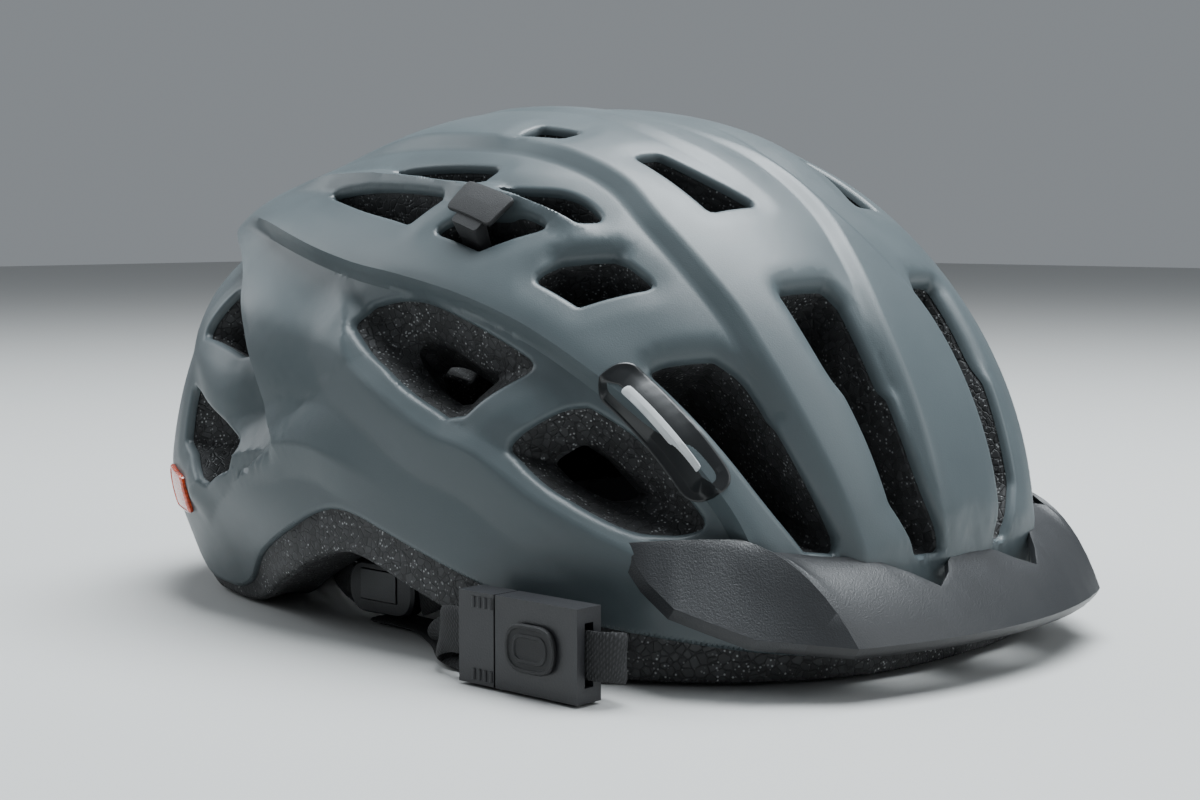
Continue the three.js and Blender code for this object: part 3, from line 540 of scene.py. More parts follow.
def thin_out(points, distance):
    """Drops points that lie closer together than this, by sorting them into cells."""
    seen = {}
    for point in points:
        cell = (round(point[0] / distance), round(point[1] / distance))
        seen.setdefault(cell, point)
    return np.array(list(seen.values()))


def edge_drop(distance, radius):
    """Depth of a rounded edge at a distance from its end."""
    reach = np.clip(radius - distance, 0.0, radius)
    return radius - np.sqrt(np.maximum(radius**2 - reach**2, 0.0))


# ---------------------------------------------------------------- Blender helpers

MERGE = 2e-6  # metres


def new_object(name, points, faces, mats=(), smooth_angle=35.0):
    """A piece from points in metres in the row frame."""
    mesh = bpy.data.meshes.new(name)
    mesh.from_pydata([tuple(map(float, p)) for p in points], [], [tuple(map(int, f)) for f in faces])
    mesh.validate()
    for mat in mats:
        mesh.materials.append(mat)
    mesh.shade_smooth()
    if smooth_angle:
        mesh.set_sharp_from_angle(angle=math.radians(smooth_angle))
    obj = bpy.data.objects.new(name, mesh)
    bpy.context.scene.collection.objects.link(obj)
    return obj


def to_row(points):
    """Millimetres from the head centre to metres in the row frame."""
    return (np.asarray(points, float) + HEAD) * MM


def weld(points, faces, distance):
    """Merges points that coincide, and drops faces that collapse."""
    key = np.round(points / distance).astype(np.int64)
    _, first, index = np.unique(key, axis=0, return_index=True, return_inverse=True)
    index = index.reshape(-1)
    joined = []
    for face in faces:
        corners = list(dict.fromkeys(index[i] for i in face))
        if len(corners) > 2:
            joined.append(corners)
    return points[first], joined


def outward_faces(obj, merge=True):
    bm = bmesh.new()
    bm.from_mesh(obj.data)
    if merge:
        bmesh.ops.remove_doubles(bm, verts=bm.verts, dist=MERGE)
    bmesh.ops.recalc_face_normals(bm, faces=bm.faces)
    bm.to_mesh(obj.data)
    bm.free()


def finish_piece(obj, body, nodes=(), merge=True):
    outward_faces(obj, merge)
    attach(obj, body)
    if nodes:
        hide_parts(*nodes)


def soft_edges(obj, width, angle):
    """Rounds every edge that turns by more than the angle, in degrees."""
    soft = obj.modifiers.new("edges", "BEVEL")
    soft.width = width * MM
    soft.segments = 3
    soft.limit_method = "ANGLE"
    soft.angle_limit = math.radians(angle)
    soft.harden_normals = False


def mirror_right(points, faces):
    """Adds the left half to a mesh of the right half."""
    count = len(points)
    flipped = points * np.array([-1.0, 1.0, 1.0])
    both = np.vstack([points, flipped])
    return both, [list(f) for f in faces] + [[i + count for i in reversed(f)] for f in faces]


def strip_between(first, second, closed):
    """Quads between two rows of indices."""
    count = len(first)
    last = count if closed else count - 1
    return [[first[i], first[(i + 1) % count], second[(i + 1) % count], second[i]] for i in range(last)]


# ---------------------------------------------------------------- materials

FLECK_COLOUR = (0.42, 0.43, 0.43)
TWILL_ANGLE = 38.0


def node_maker(mat):
    tree = mat.node_tree

    def make(kind, **values):
        node = tree.nodes.new(kind)
        for key, value in values.items():
            if key in node.inputs:
                node.inputs[key].default_value = value
            else:
                setattr(node, key, value)
        return node

    return make, tree.links.new


def new_material(name, colour, roughness):
    """A material, its shader node and the makers of nodes and links."""
    mat = bpy.data.materials.new(name)
    mat.use_nodes = True
    mat.diffuse_color = (*colour, 1.0)
    shader = next(node for node in mat.node_tree.nodes if node.type == "BSDF_PRINCIPLED")
    shader.inputs["Base Color"].default_value = (*colour, 1.0)
    shader.inputs["Roughness"].default_value = roughness
    make, link = node_maker(mat)
    return mat, shader, make, link


def ramp(make, link, source, stops):
    """A colour ramp on a socket; each stop is a place with a grey value or a colour."""
    node = make("ShaderNodeValToRGB")
    elements = node.color_ramp.elements
    while len(elements) < len(stops):
        elements.new(0.5)
    for element, (place, value) in zip(elements, stops):
        element.position = place
        element.color = (value, value, value, 1.0) if isinstance(value, (int, float)) else (*value, 1.0)
    link(source, node.inputs["Fac"])
    return node.outputs["Color"]


def on_object(make, link, *textures):
    """Lays textures on the object's own coordinates."""
    place = make("ShaderNodeTexCoord")
    for node in textures:
        link(place.outputs["Object"], node.inputs["Vector"])


def bump(make, link, source, shader, strength, distance_mm, invert=False):
    """Raises the shader's surface by a height socket."""
    node = make("ShaderNodeBump", Strength=strength, Distance=distance_mm * MM)
    node.invert = invert
    link(source, node.inputs["Height"])
    link(node.outputs["Normal"], shader.inputs["Normal"])


def multiply(make, link, first, second):
    node = make("ShaderNodeMath", operation="MULTIPLY")
    link(first, node.inputs[0])
    link(second, node.inputs[1])
    return node.outputs["Value"]


def blend(make, link, factor, first, second):
    """Mixes two colours, each a socket or a constant, by a socket."""
    mix = make("ShaderNodeMix", data_type="RGBA")
    link(factor, mix.inputs["Factor"])
    for name, value in (("A", first), ("B", second)):
        if isinstance(value, tuple):
            mix.inputs[name].default_value = (*value, 1.0)
        else:
            link(value, mix.inputs[name])
    return mix.outputs["Result"]


def scaled(colour, factor, lift=0.0):
    return tuple(min(1.0, c * factor + lift) for c in colour)


def moulded(name, colour, roughness, grain_mm, grain, mottle, edge_highlight):
    """Moulded or painted plastic: fine grain, faint mottling, and convex edges made paler as a painted
    highlight.
    """
    mat, shader, make, link = new_material(name, colour, roughness)
    fine = make("ShaderNodeTexNoise", Scale=1.0 / (grain_mm * MM), Detail=2.0, Roughness=0.6)
    broad = make("ShaderNodeTexNoise", Scale=38.0, Detail=4.0, Roughness=0.6)
    on_object(make, link, fine, broad)
    mottled = ((0.3, scaled(colour, 1.0 - mottle)), (0.7, scaled(colour, 1.0 + mottle)))
    tint = ramp(make, link, broad.outputs["Fac"], mottled)
    edge = make("ShaderNodeNewGeometry")
    # painted highlight: every convex edge, found by its pointiness, is mixed towards a paler colour
    painted_edge_highlight = ramp(make, link, edge.outputs["Pointiness"], ((0.515, 0.0), (0.56, edge_highlight)))
    link(blend(make, link, painted_edge_highlight, tint, scaled(colour, 1.7, 0.02)), shader.inputs["Base Color"])
    spread = ((0.25, roughness - 0.05), (0.75, roughness + 0.07))
    link(ramp(make, link, broad.outputs["Fac"], spread), shader.inputs["Roughness"])
    bump(make, link, fine.outputs["Fac"], shader, grain, 0.4)
    return mat


def bead_foam(name, colour):
    """Moulded bead foam: flattened cells, dark seams between them and scattered pale flecks."""
    mat, shader, make, link = new_material(name, colour, 0.62)
    cells = make("ShaderNodeTexVoronoi", Scale=420.0, feature="F1")
    seams = make("ShaderNodeTexVoronoi", Scale=420.0, feature="DISTANCE_TO_EDGE")
    flecks = make("ShaderNodeTexVoronoi", Scale=760.0, feature="F1", Randomness=1.0)
    patches = make("ShaderNodeTexNoise", Scale=150.0, Detail=3.0, Roughness=0.65)
    on_object(make, link, cells, seams, flecks, patches)
    seam = ramp(make, link, seams.outputs["Distance"], ((0.0, 0.0), (0.1, 1.0)))
    cell_stops = ((0.25, scaled(colour, 0.75)), (0.75, scaled(colour, 1.5)))
    shade = ramp(make, link, cells.outputs["Color"], cell_stops)
    beads = blend(make, link, seam, scaled(colour, 0.5), shade)
    dots = ramp(make, link, flecks.outputs["Distance"], ((0.12, 1.0), (0.3, 0.0)))
    some = ramp(make, link, patches.outputs["Fac"], ((0.44, 0.0), (0.6, 0.9)))
    flecked = blend(make, link, multiply(make, link, dots, some), beads, FLECK_COLOUR)
    link(flecked, shader.inputs["Base Color"])
    bump(make, link, seam, shader, 0.5, 0.5)
    return mat


def fabric(name, colour, cell_mm):
    """Knitted cover: small raised cells, a broad nap and soft sheen."""
    mat, shader, make, link = new_material(name, colour, 0.9)
    knit = make("ShaderNodeTexVoronoi", Scale=1.0 / (cell_mm * MM), feature="F1", Randomness=0.25)
    nap = make("ShaderNodeTexNoise", Scale=240.0, Detail=3.0, Roughness=0.6)
    on_object(make, link, knit, nap)
    stops = ((0.1, scaled(colour, 1.5)), (0.7, scaled(colour, 0.55)))
    tint = ramp(make, link, knit.outputs["Distance"], stops)
    soft = make("ShaderNodeMix", data_type="RGBA", blend_type="OVERLAY")
    soft.inputs["Factor"].default_value = 0.5
    link(tint, soft.inputs["A"])
    link(nap.outputs["Fac"], soft.inputs["B"])
    link(soft.outputs["Result"], shader.inputs["Base Color"])
    bump(make, link, knit.outputs["Distance"], shader, 0.7, 0.6, True)
    shader.inputs["Sheen Weight"].default_value = 0.3
    return mat


def woven(name, colour):
    """Twill webbing, on the strap's own lengthwise and crosswise millimetres."""
    mat, shader, make, link = new_material(name, colour, 0.75)
    place = make("ShaderNodeAttribute", attribute_name="weave")
    turned = make("ShaderNodeMapping")
    turned.inputs["Rotation"].default_value = (0.0, 0.0, math.radians(TWILL_ANGLE))
    link(place.outputs["Vector"], turned.inputs["Vector"])
    twill = make("ShaderNodeTexWave", Scale=0.32, Distortion=0.4, wave_profile="SIN")
    link(turned.outputs["Vector"], twill.inputs["Vector"])
    picks = make("ShaderNodeTexWave", Scale=0.42, Distortion=0.2, wave_profile="SIN")
    link(place.outputs["Vector"], picks.inputs["Vector"])
    weave = multiply(make, link, twill.outputs["Fac"], picks.outputs["Fac"])
    stops = ((0.1, scaled(colour, 0.5)), (0.8, scaled(colour, 1.9)))
    link(ramp(make, link, weave, stops), shader.inputs["Base Color"])
    bump(make, link, weave, shader, 0.6, 0.5)
    return mat


def prismatic(name, colour):
    """Reflector lens: clear-coated colour over a honeycomb of small prisms."""
    mat, shader, make, link = new_material(name, colour, 0.16)
    prisms = make("ShaderNodeTexVoronoi", Scale=620.0, feature="F1", Randomness=0.0)
    on_object(make, link, prisms)
    stops = ((0.1, scaled(colour, 1.5)), (0.7, scaled(colour, 0.6)))
    link(ramp(make, link, prisms.outputs["Distance"], stops), shader.inputs["Base Color"])
    bump(make, link, prisms.outputs["Distance"], shader, 0.5, 0.6)
    shader.inputs["Coat Weight"].default_value = 0.8
    return mat


# Colour, roughness, grain size in mm, and the strength of grain, mottling and the painted highlight on convex
# edges.
SHELL_PAINT = moulded("shell_matte_slate", (0.068, 0.086, 0.093), 0.4, 0.4, 0.12, 0.04, 0.1)
FOAM = bead_foam("bead_foam_charcoal", (0.026, 0.026, 0.027))
VISOR_BLACK = moulded("visor_satin_charcoal", (0.018, 0.019, 0.021), 0.42, 0.5, 0.35, 0.06, 0.15)
LIP_BLACK = moulded("lip_black", (0.006, 0.006, 0.007), 0.3, 0.6, 0.1, 0.06, 0.1)
PLASTIC = moulded("plastic_satin_black", (0.013, 0.013, 0.015), 0.38, 0.6, 0.2, 0.06, 0.2)
LEVER = moulded("lever_satin_grey", (0.035, 0.036, 0.038), 0.42, 0.6, 0.15, 0.06, 0.25)
NYLON = moulded("nylon_dark", (0.02, 0.02, 0.022), 0.5, 0.5, 0.3, 0.06, 0.15)
RUBBER = moulded("soft_touch_rubber", (0.01, 0.01, 0.011), 0.62, 0.3, 0.35, 0.06, 0.1)
BADGE_BLACK = moulded("badge_gloss_black", (0.01, 0.011, 0.012), 0.32, 0.8, 0.03, 0.06, 0.1)
SILVER = moulded("inlay_silver", (0.55, 0.57, 0.58), 0.3, 0.5, 0.08, 0.03, 0.1)
PAD_FABRIC = fabric("pad_knit", (0.022, 0.023, 0.025), 1.2)
WELT_FABRIC = fabric("welt_tape", (0.014, 0.014, 0.015), 0.7)
WEBBING = woven("webbing_twill", (0.016, 0.016, 0.017))
REFLECTOR_RED = prismatic("reflector_red", (0.78, 0.075, 0.018))


# ---------------------------------------------------------------- shell

RIM_COUNT = 330
EDGE_RADIUS = 1.5
SHELL_SPACING = 1.9
SHELL_RINGS = (0.45, 1.1, 1.9, 3.0)  # mesh rows beside each vent and the rim


def edge_distance(surface, base, outlines, rim_line):
    """How far points of a surface are from its vents and its rim."""
    edges = [on_form(surface, outline) for outline in outlines]
    edges.append(on_form(surface, rim_points(surface, rim_line, RIM_COUNT)))
    return nearest(base, np.vstack(edges))[1]


def shell_outside(chart):
    """Points of the shell's outside, with its edges rounded over."""
    base = on_form(OUTER, chart)
    distance = edge_distance(OUTER, base, VENT_OUTLINES.values(), SHELL_RIM)
    height = relief(chart) - edge_drop(distance, EDGE_RADIUS)
    return base + form_normal(OUTER, chart) * height[:, None]


def build_shell():
    rim = rim_points(OUTER, SHELL_RIM, RIM_COUNT)
    guides = [row for line in RELIEF_LINES for row in guide_rows(line)]
    chart, triangles = chart_sheet(rim, list(VENT_OUTLINES.values()), SHELL_RINGS, SHELL_SPACING, guides)
    outside = shell_outside(chart)
    inner = outside - form_normal(OUTER, chart) * SHELL_THICKNESS
    count = len(chart)
    faces = [list(t) for t in triangles]
    faces += [[i + count for i in reversed(t)] for t in triangles]
    sides = dict.fromkeys(side for a, b, c in triangles for side in ((a, b), (b, c), (c, a)))
    for a, b in sides:
        on_middle = abs(chart[a, 0]) < ON_MIDDLE and abs(chart[b, 0]) < ON_MIDDLE
        if (b, a) not in sides and not on_middle:
            faces.append([b, a, a + count, b + count])
    points, faces = mirror_right(np.vstack([outside, inner]), faces)
    points, faces = weld(points, faces, 0.005)
    shell = new_object("shell_moulding", to_row(points), faces, [SHELL_PAINT], 42.0)
    finish_piece(shell, "helmet", ["outer_shell"])


# ---------------------------------------------------------------- foam liner

FOAM_EDGE = 2.2
MOUTH_EDGE = 3.0  # rounding of the edges inside
FOAM_SPACING = 3.4
FOAM_RINGS = (0.8, 1.8, 3.2)
WALL_ROWS = 10
STEP_CLEARANCE = 3.0  # more depth below the steep step at the rear edge
STEP_CLEARANCE_WIDTH = 6.0
AIR_CHANNELS = ((-11.5, 5.5), (-33.0, 5.0))  # side angle and half width, degrees
CHANNEL_DEPTH = 5.0
CHANNEL_START = (18, 34)  # pitch over which the channels fade in at the front
CHANNEL_END = (140, 156)


def foam_outside(chart):
    base = on_form(OUTER, chart)
    distance = edge_distance(OUTER, base, VENT_OUTLINES.values(), FOAM_RIM)
    depth = relief(chart) - FOAM_INSET - edge_drop(distance, FOAM_EDGE)
    depth -= STEP_CLEARANCE * np.exp(-(beside(base, REAR_EDGE)[0] / STEP_CLEARANCE_WIDTH) ** 2)
    return base + form_normal(OUTER, chart) * depth[:, None]


def mouth_outline(name):
    """A vent's outline where it opens inside the foam."""
    scale, shift, _ = VENT_MOUTHS.get(name, PLAIN_MOUTH)
    angles = angles_of(VENT_OUTLINES[name])
    middle = angles.mean(axis=0)
    return chart_of(middle + np.array(shift) + (angles - middle) * scale)


MOUTH_OUTLINES = {name: mouth_outline(name) for name in VENT_OUTLINES}


def foam_inside(chart):
    base = on_form(INNER, chart)
    angles = angles_of(chart)
    depth = np.zeros(len(chart))
    for side, half in AIR_CHANNELS:
        across = 1.0 - smooth(np.abs(angles[:, 1] - side), half * 0.5, half)
        along = smooth(angles[:, 0], *CHANNEL_START) * (1.0 - smooth(angles[:, 0], *CHANNEL_END))
        depth = np.maximum(depth, CHANNEL_DEPTH * across * along)
    distance = edge_distance(INNER, base, MOUTH_OUTLINES.values(), FOAM_RIM)
    return base + form_normal(INNER, chart) * (depth + edge_drop(distance, MOUTH_EDGE))[:, None]


def wall_rows(outside, inner, narrowed):
    """Rows of points from the foam's outside to its inside, at full narrowness after a share of the way."""
    middle_out, middle_in = outside.mean(axis=0), inner.mean(axis=0)
    rows = []
    for k in range(WALL_ROWS + 1):
        t = k / WALL_ROWS
        share = min(1.0, t / narrowed)
        middle = middle_out * (1 - t) + middle_in * t
        rows.append(middle + (outside - middle_out) * (1 - share) + (inner - middle_in) * share)
    return rows


def build_foam():
    outer_rim = rim_points(OUTER, FOAM_RIM, RIM_COUNT)
    inner_rim = rim_points(INNER, FOAM_RIM, RIM_COUNT)
    outlines = list(VENT_OUTLINES.values())
    mouths = list(MOUTH_OUTLINES.values())
    out_chart, out_tris = chart_sheet(outer_rim, outlines, FOAM_RINGS, FOAM_SPACING, guide_rows(REAR_EDGE))
    in_chart, in_tris = chart_sheet(inner_rim, mouths, FOAM_RINGS, FOAM_SPACING)
    points = [foam_outside(out_chart), foam_inside(in_chart)]
    faces = [list(t) for t in out_tris]
    count = len(out_chart)
    faces += [[i + count for i in reversed(t)] for t in in_tris]
    count += len(in_chart)
    walls = []
    for name, outline in VENT_OUTLINES.items():
        narrowed = VENT_MOUTHS.get(name, PLAIN_MOUTH)[2]
        walls.append((foam_outside(outline), foam_inside(MOUTH_OUTLINES[name]), narrowed, True))
    walls.append((foam_outside(outer_rim), foam_inside(inner_rim), 1.0, False))
    for outside, inner, narrowed, closed in walls:
        points += wall_rows(outside, inner, narrowed)
        size = len(outside)
        rows = [list(range(count + k * size, count + (k + 1) * size)) for k in range(WALL_ROWS + 1)]
        count += size * (WALL_ROWS + 1)
        for first, second in zip(rows, rows[1:]):
            faces += strip_between(first, second, closed)
    points, faces = mirror_right(np.vstack(points), faces)
    points, faces = weld(points, faces, 0.01)
    foam = new_object("foam_liner", to_row(points), faces, [FOAM], 50.0)
    finish_piece(foam, "helmet", ["eps_liner"])


# ---------------------------------------------------------------- visor

# The front lip is an arc, level and symmetric.
LIP_ARC_RADIUS = 155.0
LIP_FRONT = -170.0
LIP_LEVEL = -12.0


def front_lip(x):
    """Point of the front lip at x, in mm from the head centre."""
    back = LIP_ARC_RADIUS - math.sqrt(LIP_ARC_RADIUS**2 - x**2)
    return (x, LIP_FRONT + back, LIP_LEVEL)


# Columns of the blade on the right half, from the wing tip to the middle: upper edge as
# (pitch, side) on the shell, lip as (x, y, z) from the head centre, the share of the column
# that a notch takes off its top, and how far it bows out. The crease is the sixth column.
VISOR_COLUMNS = (
    ((7.2, -42.0), (-87.5, -99.5, 11.5), 0.0, 0.0),
    ((7.2, -39.0), (-89.5, -109.5, 3.5), 0.0, 0.0),
    ((7.1, -36.0), (-89.5, -119, -2.5), 0.0, 0.0),
    ((6.9, -33.0), (-85.5, -127.5, -5.5), 0.0, 0.0),
    ((6.7, -31.0), (-79.5, -138.5, -9.5), 0.0, 0.4),
    ((6.5, -29.0), front_lip(-61), 0.0, 4.8),
    ((5.7, -27.6), front_lip(-58.5), 0.2, 4.4),
    ((4.8, -26.0), front_lip(-54), 0.0, 3.8),
    ((3.8, -21.0), front_lip(-45), 0.0, 2.8),
    ((3.2, -15.5), front_lip(-34), 0.0, 2.0),
    ((3.0, -12.5), front_lip(-27), 0.27, 1.6),
    ((2.8, -10.2), front_lip(-21.5), 0.46, 1.4),
    ((2.5, -6.6), front_lip(-14), 0.27, 1.2),
    ((2.4, -4.8), front_lip(-11), 0.12, 1.2),
    ((2.4, -2.0), front_lip(-5), 0.0, 1.2),
    ((2.4, 0.0), front_lip(0), 0.0, 1.2),
)
VISOR_ROWS = 10
VISOR_THICKNESS = 2.2
VISOR_STANDOFF = 1.0
LIP_BLACK_TOP = LIP_LEVEL + 0.5  # faces below this height and nearer the middle than the reach are lip
LIP_BLACK_REACH = 75.0
BOW_DIRECTION = (0.0, -0.4, 1.0)
LIP_TURN = ((0.0, 0.9, -1.6), (0.0, 2.2, -3.0))
COLUMNS_BETWEEN = 4


def visor_column(edge, lip, notch, bow):
    top = form(OUTER, edge[0], edge[1], -VISOR_STANDOFF)
    lip = np.array(lip, float)
    share = np.linspace(notch, 1.0, VISOR_ROWS)[:, None]
    line = top * (1 - share) + lip * share
    line += np.array(BOW_DIRECTION) * (bow * 4.0 * share * (1.0 - share))
    return np.vstack([line, lip + np.array(LIP_TURN)])


def build_visor():
    stations = [visor_column(*column) for column in VISOR_COLUMNS]
    columns = []
    for left, right in zip(stations, stations[1:]):
        for t in np.linspace(0.0, 1.0, COLUMNS_BETWEEN, endpoint=False):
            columns.append(left * (1.0 - t) + right * t)
    columns.append(stations[-1])
    size = len(columns[0])
    faces = []
    for start in range(0, (len(columns) - 1) * size, size):
        faces += [[i, i + size, i + size + 1, i + 1] for i in range(start, start + size - 1)]
    points, faces = mirror_right(np.vstack(columns), faces)
    points, faces = weld(points, faces, 0.01)
    visor = new_object("visor_blade", to_row(points), faces, [VISOR_BLACK, LIP_BLACK], 17.0)
    finish_piece(visor, "visor", ["visor"])
    for face in visor.data.polygons:
        x, _, z = np.array(face.center) / MM - HEAD
        is_lip = face.normal.z < 0.1 and z < LIP_BLACK_TOP and abs(x) < LIP_BLACK_REACH
        face.material_index = int(is_lip)
    thick = visor.modifiers.new("thickness", "SOLIDIFY")
    thick.thickness = VISOR_THICKNESS * MM
    thick.offset = -1.0
    thick.use_even_offset = False
    soft_edges(visor, 0.5, 30.0)


# ---------------------------------------------------------------- solids from loops

def loops_mesh(loops):
    """A closed body from loops of equal length, its first and last loop drawn to their middles."""
    loops = [np.asarray(loop, float) for loop in loops]
    count = len(loops[0])
    points = np.vstack([loops[0].mean(axis=0)[None], *loops, loops[-1].mean(axis=0)[None]])
    faces = []
    for i in range(count):
        j = (i + 1) % count
        faces.append([0, 1 + j, 1 + i])
        for r in range(len(loops) - 1):
            first = 1 + r * count
            faces.append([first + i, first + j, first + count + j, first + count + i])
        last = 1 + (len(loops) - 1) * count
        faces.append([last + i, last + j, len(points) - 1])
    return weld(points, faces, 0.002)


def rounded_bar(half_length, half_width, corner, spacing):
    """A rounded rectangle and, for each of its points, the nearest place on its spine."""
    a, b = half_length, half_width
    outline = resample(rounded([(-a, -b), (a, -b), (a, b), (-a, b)], corner, 8), spacing, True)
    reach = max(a - b, 0.0)
    spine = np.stack([np.clip(outline[:, 0], -reach, reach), np.zeros(len(outline))], axis=-1)
    return outline, spine


def spine_loops(bar, profile, place):
    """Loops of a plate: profile lists (share of the way from spine to outline, rise)."""
    outline, spine = bar
    loops = []
    for share, rise in profile:
        flat = spine + (outline - spine) * share
        loops.append(place(flat[:, 0], flat[:, 1], rise))
    return loops


def plate(name, bar, profile, place, mats, angle=35.0):
    points, faces = loops_mesh(spine_loops(bar, profile, place))
    return new_object(name, to_row(points), faces, mats, angle)


def tube_mesh(path, radius, sides=8):
    """A closed round tube along a closed path."""
    path = np.asarray(path, float)
    along = np.roll(path, -1, 0) - np.roll(path, 1, 0)
    along /= np.linalg.norm(along, axis=1, keepdims=True)
    out = path - path.mean(axis=0)
    out -= along * np.einsum("ij,ij->i", out, along)[:, None]
    out /= np.linalg.norm(out, axis=1, keepdims=True)
    up = np.cross(along, out)
    points = []
    for k in range(sides):
        turn = 2 * math.pi * k / sides
        points.append(path + radius * (math.cos(turn) * out + math.sin(turn) * up))
    count = len(path)
    rows = [list(range(k * count, (k + 1) * count)) for k in range(sides)]
    faces = []
    for k in range(sides):
        faces += strip_between(rows[k], rows[(k + 1) % sides], True)
    return np.vstack(points), faces


def flipped_copy(obj, name):
    """The mirror image of a right-hand piece on the left."""
    mesh = obj.data.copy()
    mesh.name = name
    for vertex in mesh.vertices:
        vertex.co.x = -vertex.co.x
    mesh.flip_normals()
    copy = bpy.data.objects.new(name, mesh)
    bpy.context.scene.collection.objects.link(copy)
    return copy


def finish_pair(right, body, node):
    """Finishes a right-hand piece and its mirror image; node is the frame's name without its side."""
    left = flipped_copy(right, right.name.replace("right", "left"))
    for piece, side in ((right, "right"), (left, "left")):
        finish_piece(piece, body, [node + "_" + side])


# ---------------------------------------------------------------- trim on the shell

BADGE_FROM = (33.0, -38.0)  # (pitch, side) of its two ends
BADGE_TO = (12.0, -31.0)
BADGE_HALF = 2.9
INLAY_LENGTH = 0.66  # the stripe's share of the badge
INLAY_WIDTH = 0.22
REFLECTOR = {"pitch": 175.0, "side": -41.0, "half": (3.9, 3.9), "corner": 1.2}
CLIP = {"pitch": 71.5, "side": -35.2, "half": (5.2, 2.3), "corner": 0.8}
CLIP_STANDOFF = 2.9
CLIP_STEM = {"pitch": 71.0, "side": -38.2, "half": (2.9, 0.9), "corner": 0.5}


def over_shell(pitch, side, rise):
    """Points at a height above the moulded shell."""
    chart = chart_of(np.stack([pitch, side], axis=-1))
    return on_form(OUTER, chart) + form_normal(OUTER, chart) * (relief(chart) + rise)[:, None]


def build_badges():
    start, end = np.array(BADGE_FROM), np.array(BADGE_TO)
    length = np.linalg.norm(end - start)
    along = (end - start) / length
    across = np.array([-along[1], along[0]])
    middle = (start + end) / 2

    def place(u, v, rise):
        angles = middle + u[:, None] * along + v[:, None] * across
        return over_shell(angles[:, 0], angles[:, 1], rise)

    base = rounded_bar(length / 2, BADGE_HALF, BADGE_HALF, 0.45)
    profile = ((0.0, -0.4), (0.7, -0.4), (0.97, -0.2), (1.0, 0.3), (0.96, 0.5), (0.9, 0.52), (0.86, 0.4),
               (0.6, 0.4), (0.0, 0.4))
    badge = plate("badge_plate_right", base, profile, place, [BADGE_BLACK])
    inlay_half = BADGE_HALF * INLAY_WIDTH
    inlay = rounded_bar(length / 2 * INLAY_LENGTH, inlay_half, inlay_half, 0.35)
    profile = ((0.0, 0.2), (1.0, 0.2), (1.0, 0.5), (0.85, 0.6), (0.0, 0.6))
    stripe = plate("badge_inlay_right", inlay, profile, place, [SILVER])
    for piece in (badge, stripe):
        finish_pair(piece, "helmet", "badge")


def build_reflectors():
    def place(u, v, rise):
        return over_shell(REFLECTOR["pitch"] + u, REFLECTOR["side"] + v, rise)

    bar = rounded_bar(*REFLECTOR["half"], REFLECTOR["corner"], 0.35)
    profile = ((0.0, -0.3), (0.95, -0.3), (1.0, 0.2), (1.0, 1.0), (0.94, 1.5), (0.86, 1.6), (0.83, 1.35),
               (0.5, 1.45), (0.0, 1.5))
    right = plate("reflector_lens_right", bar, profile, place, [REFLECTOR_RED])
    finish_pair(right, "helmet", "reflector")


def build_lamp_clip():
    def on_top(u, v, rise):
        chart = chart_of(np.stack([CLIP["pitch"] + u, CLIP["side"] + v], axis=-1))
        return on_form(OUTER, chart) + form_normal(OUTER, chart) * (CLIP_STANDOFF + rise)

    def beside_rib(u, v, rise):
        return form(OUTER, CLIP_STEM["pitch"] + u, CLIP_STEM["side"] + v, -rise)

    bar = rounded_bar(*CLIP["half"], CLIP["corner"], 0.4)
    profile = ((0.0, 0.0), (0.96, 0.0), (1.0, 0.35), (1.0, 1.2), (0.95, 1.6), (0.75, 1.75), (0.0, 1.8))
    top = plate("lamp_clip_plate", bar, profile, on_top, [RUBBER])
    bar = rounded_bar(*CLIP_STEM["half"], CLIP_STEM["corner"], 0.25)
    profile = ((0.0, -15.0), (0.8, -15.0), (1.0, -13.5), (1.0, -4.0), (1.15, 2.0), (1.15, 4.0), (0.0, 4.0))
    stem = plate("lamp_clip_stem", bar, profile, beside_rib, [RUBBER])
    for piece in (top, stem):
        finish_piece(piece, "helmet", ["lamp_clip"])


# ---------------------------------------------------------------- pads

PAD_FRAMES = 20
PAD_PRESSURE = 4.0
PAD_VOXEL = 4.0 * MM
PAD_TRAVEL = 5.0 * MM
PAD_SWELL = 0.35  # share of the cloth's travel that the pad keeps
PAD_BACK = 1.6  # backing of a pad below the inside of the foam
PAD_FRONT = 6.6
SEAM_DEPTH = 1.1
SEAM_HALF = 1.5
WELT_RADIUS = 0.75
PAD_PROFILE = ((0.0, 0.0), (0.86, 0.0), (0.95, 0.14), (1.0, 0.4), (0.95, 0.62), (0.82, 0.8), (0.55, 0.92),
               (0.0, 0.96))
SEAM_LEVEL = 0.45  # share of a pad's thickness
SEAM_SAMPLES = 40
WELT_LEVEL = 0.34
BELT = {"half_width": 70.0, "half_length": 101.0, "power": 2.4, "reach": 68.0, "low": -13.0, "high": 1.0}
BROW_BACK = 2.0  # back of the brow pad, inside the belt's oval
BROW_THICKNESS = 5.2
BROW_LEVEL = -8.0
CRADLE_RADIUS = 62.0
NAPE_BACK = 78.3
NAPE_THICKNESS = 5.4
NAPE_LEVEL = -6.0


def oval_point(inset, degrees):
    """The fit belt's oval around the head."""
    turn = np.radians(degrees)
    power = 2.0 / BELT["power"]
    x = np.sign(np.sin(turn)) * np.abs(np.sin(turn)) ** power
    y = np.sign(np.cos(turn)) * np.abs(np.cos(turn)) ** power
    return (BELT["half_width"] - inset) * x, -(BELT["half_length"] - inset) * y


def foam_pad_place(pitch, side):
    def place(u, v, rise):
        return form(INNER, pitch + u, side + v, PAD_BACK + (PAD_FRONT - PAD_BACK) * rise)
    return place


def brow_place(u, v, rise):
    x, y = oval_point(BROW_BACK + BROW_THICKNESS * rise, u)
    return np.stack([x, y, v + BROW_LEVEL], axis=-1)


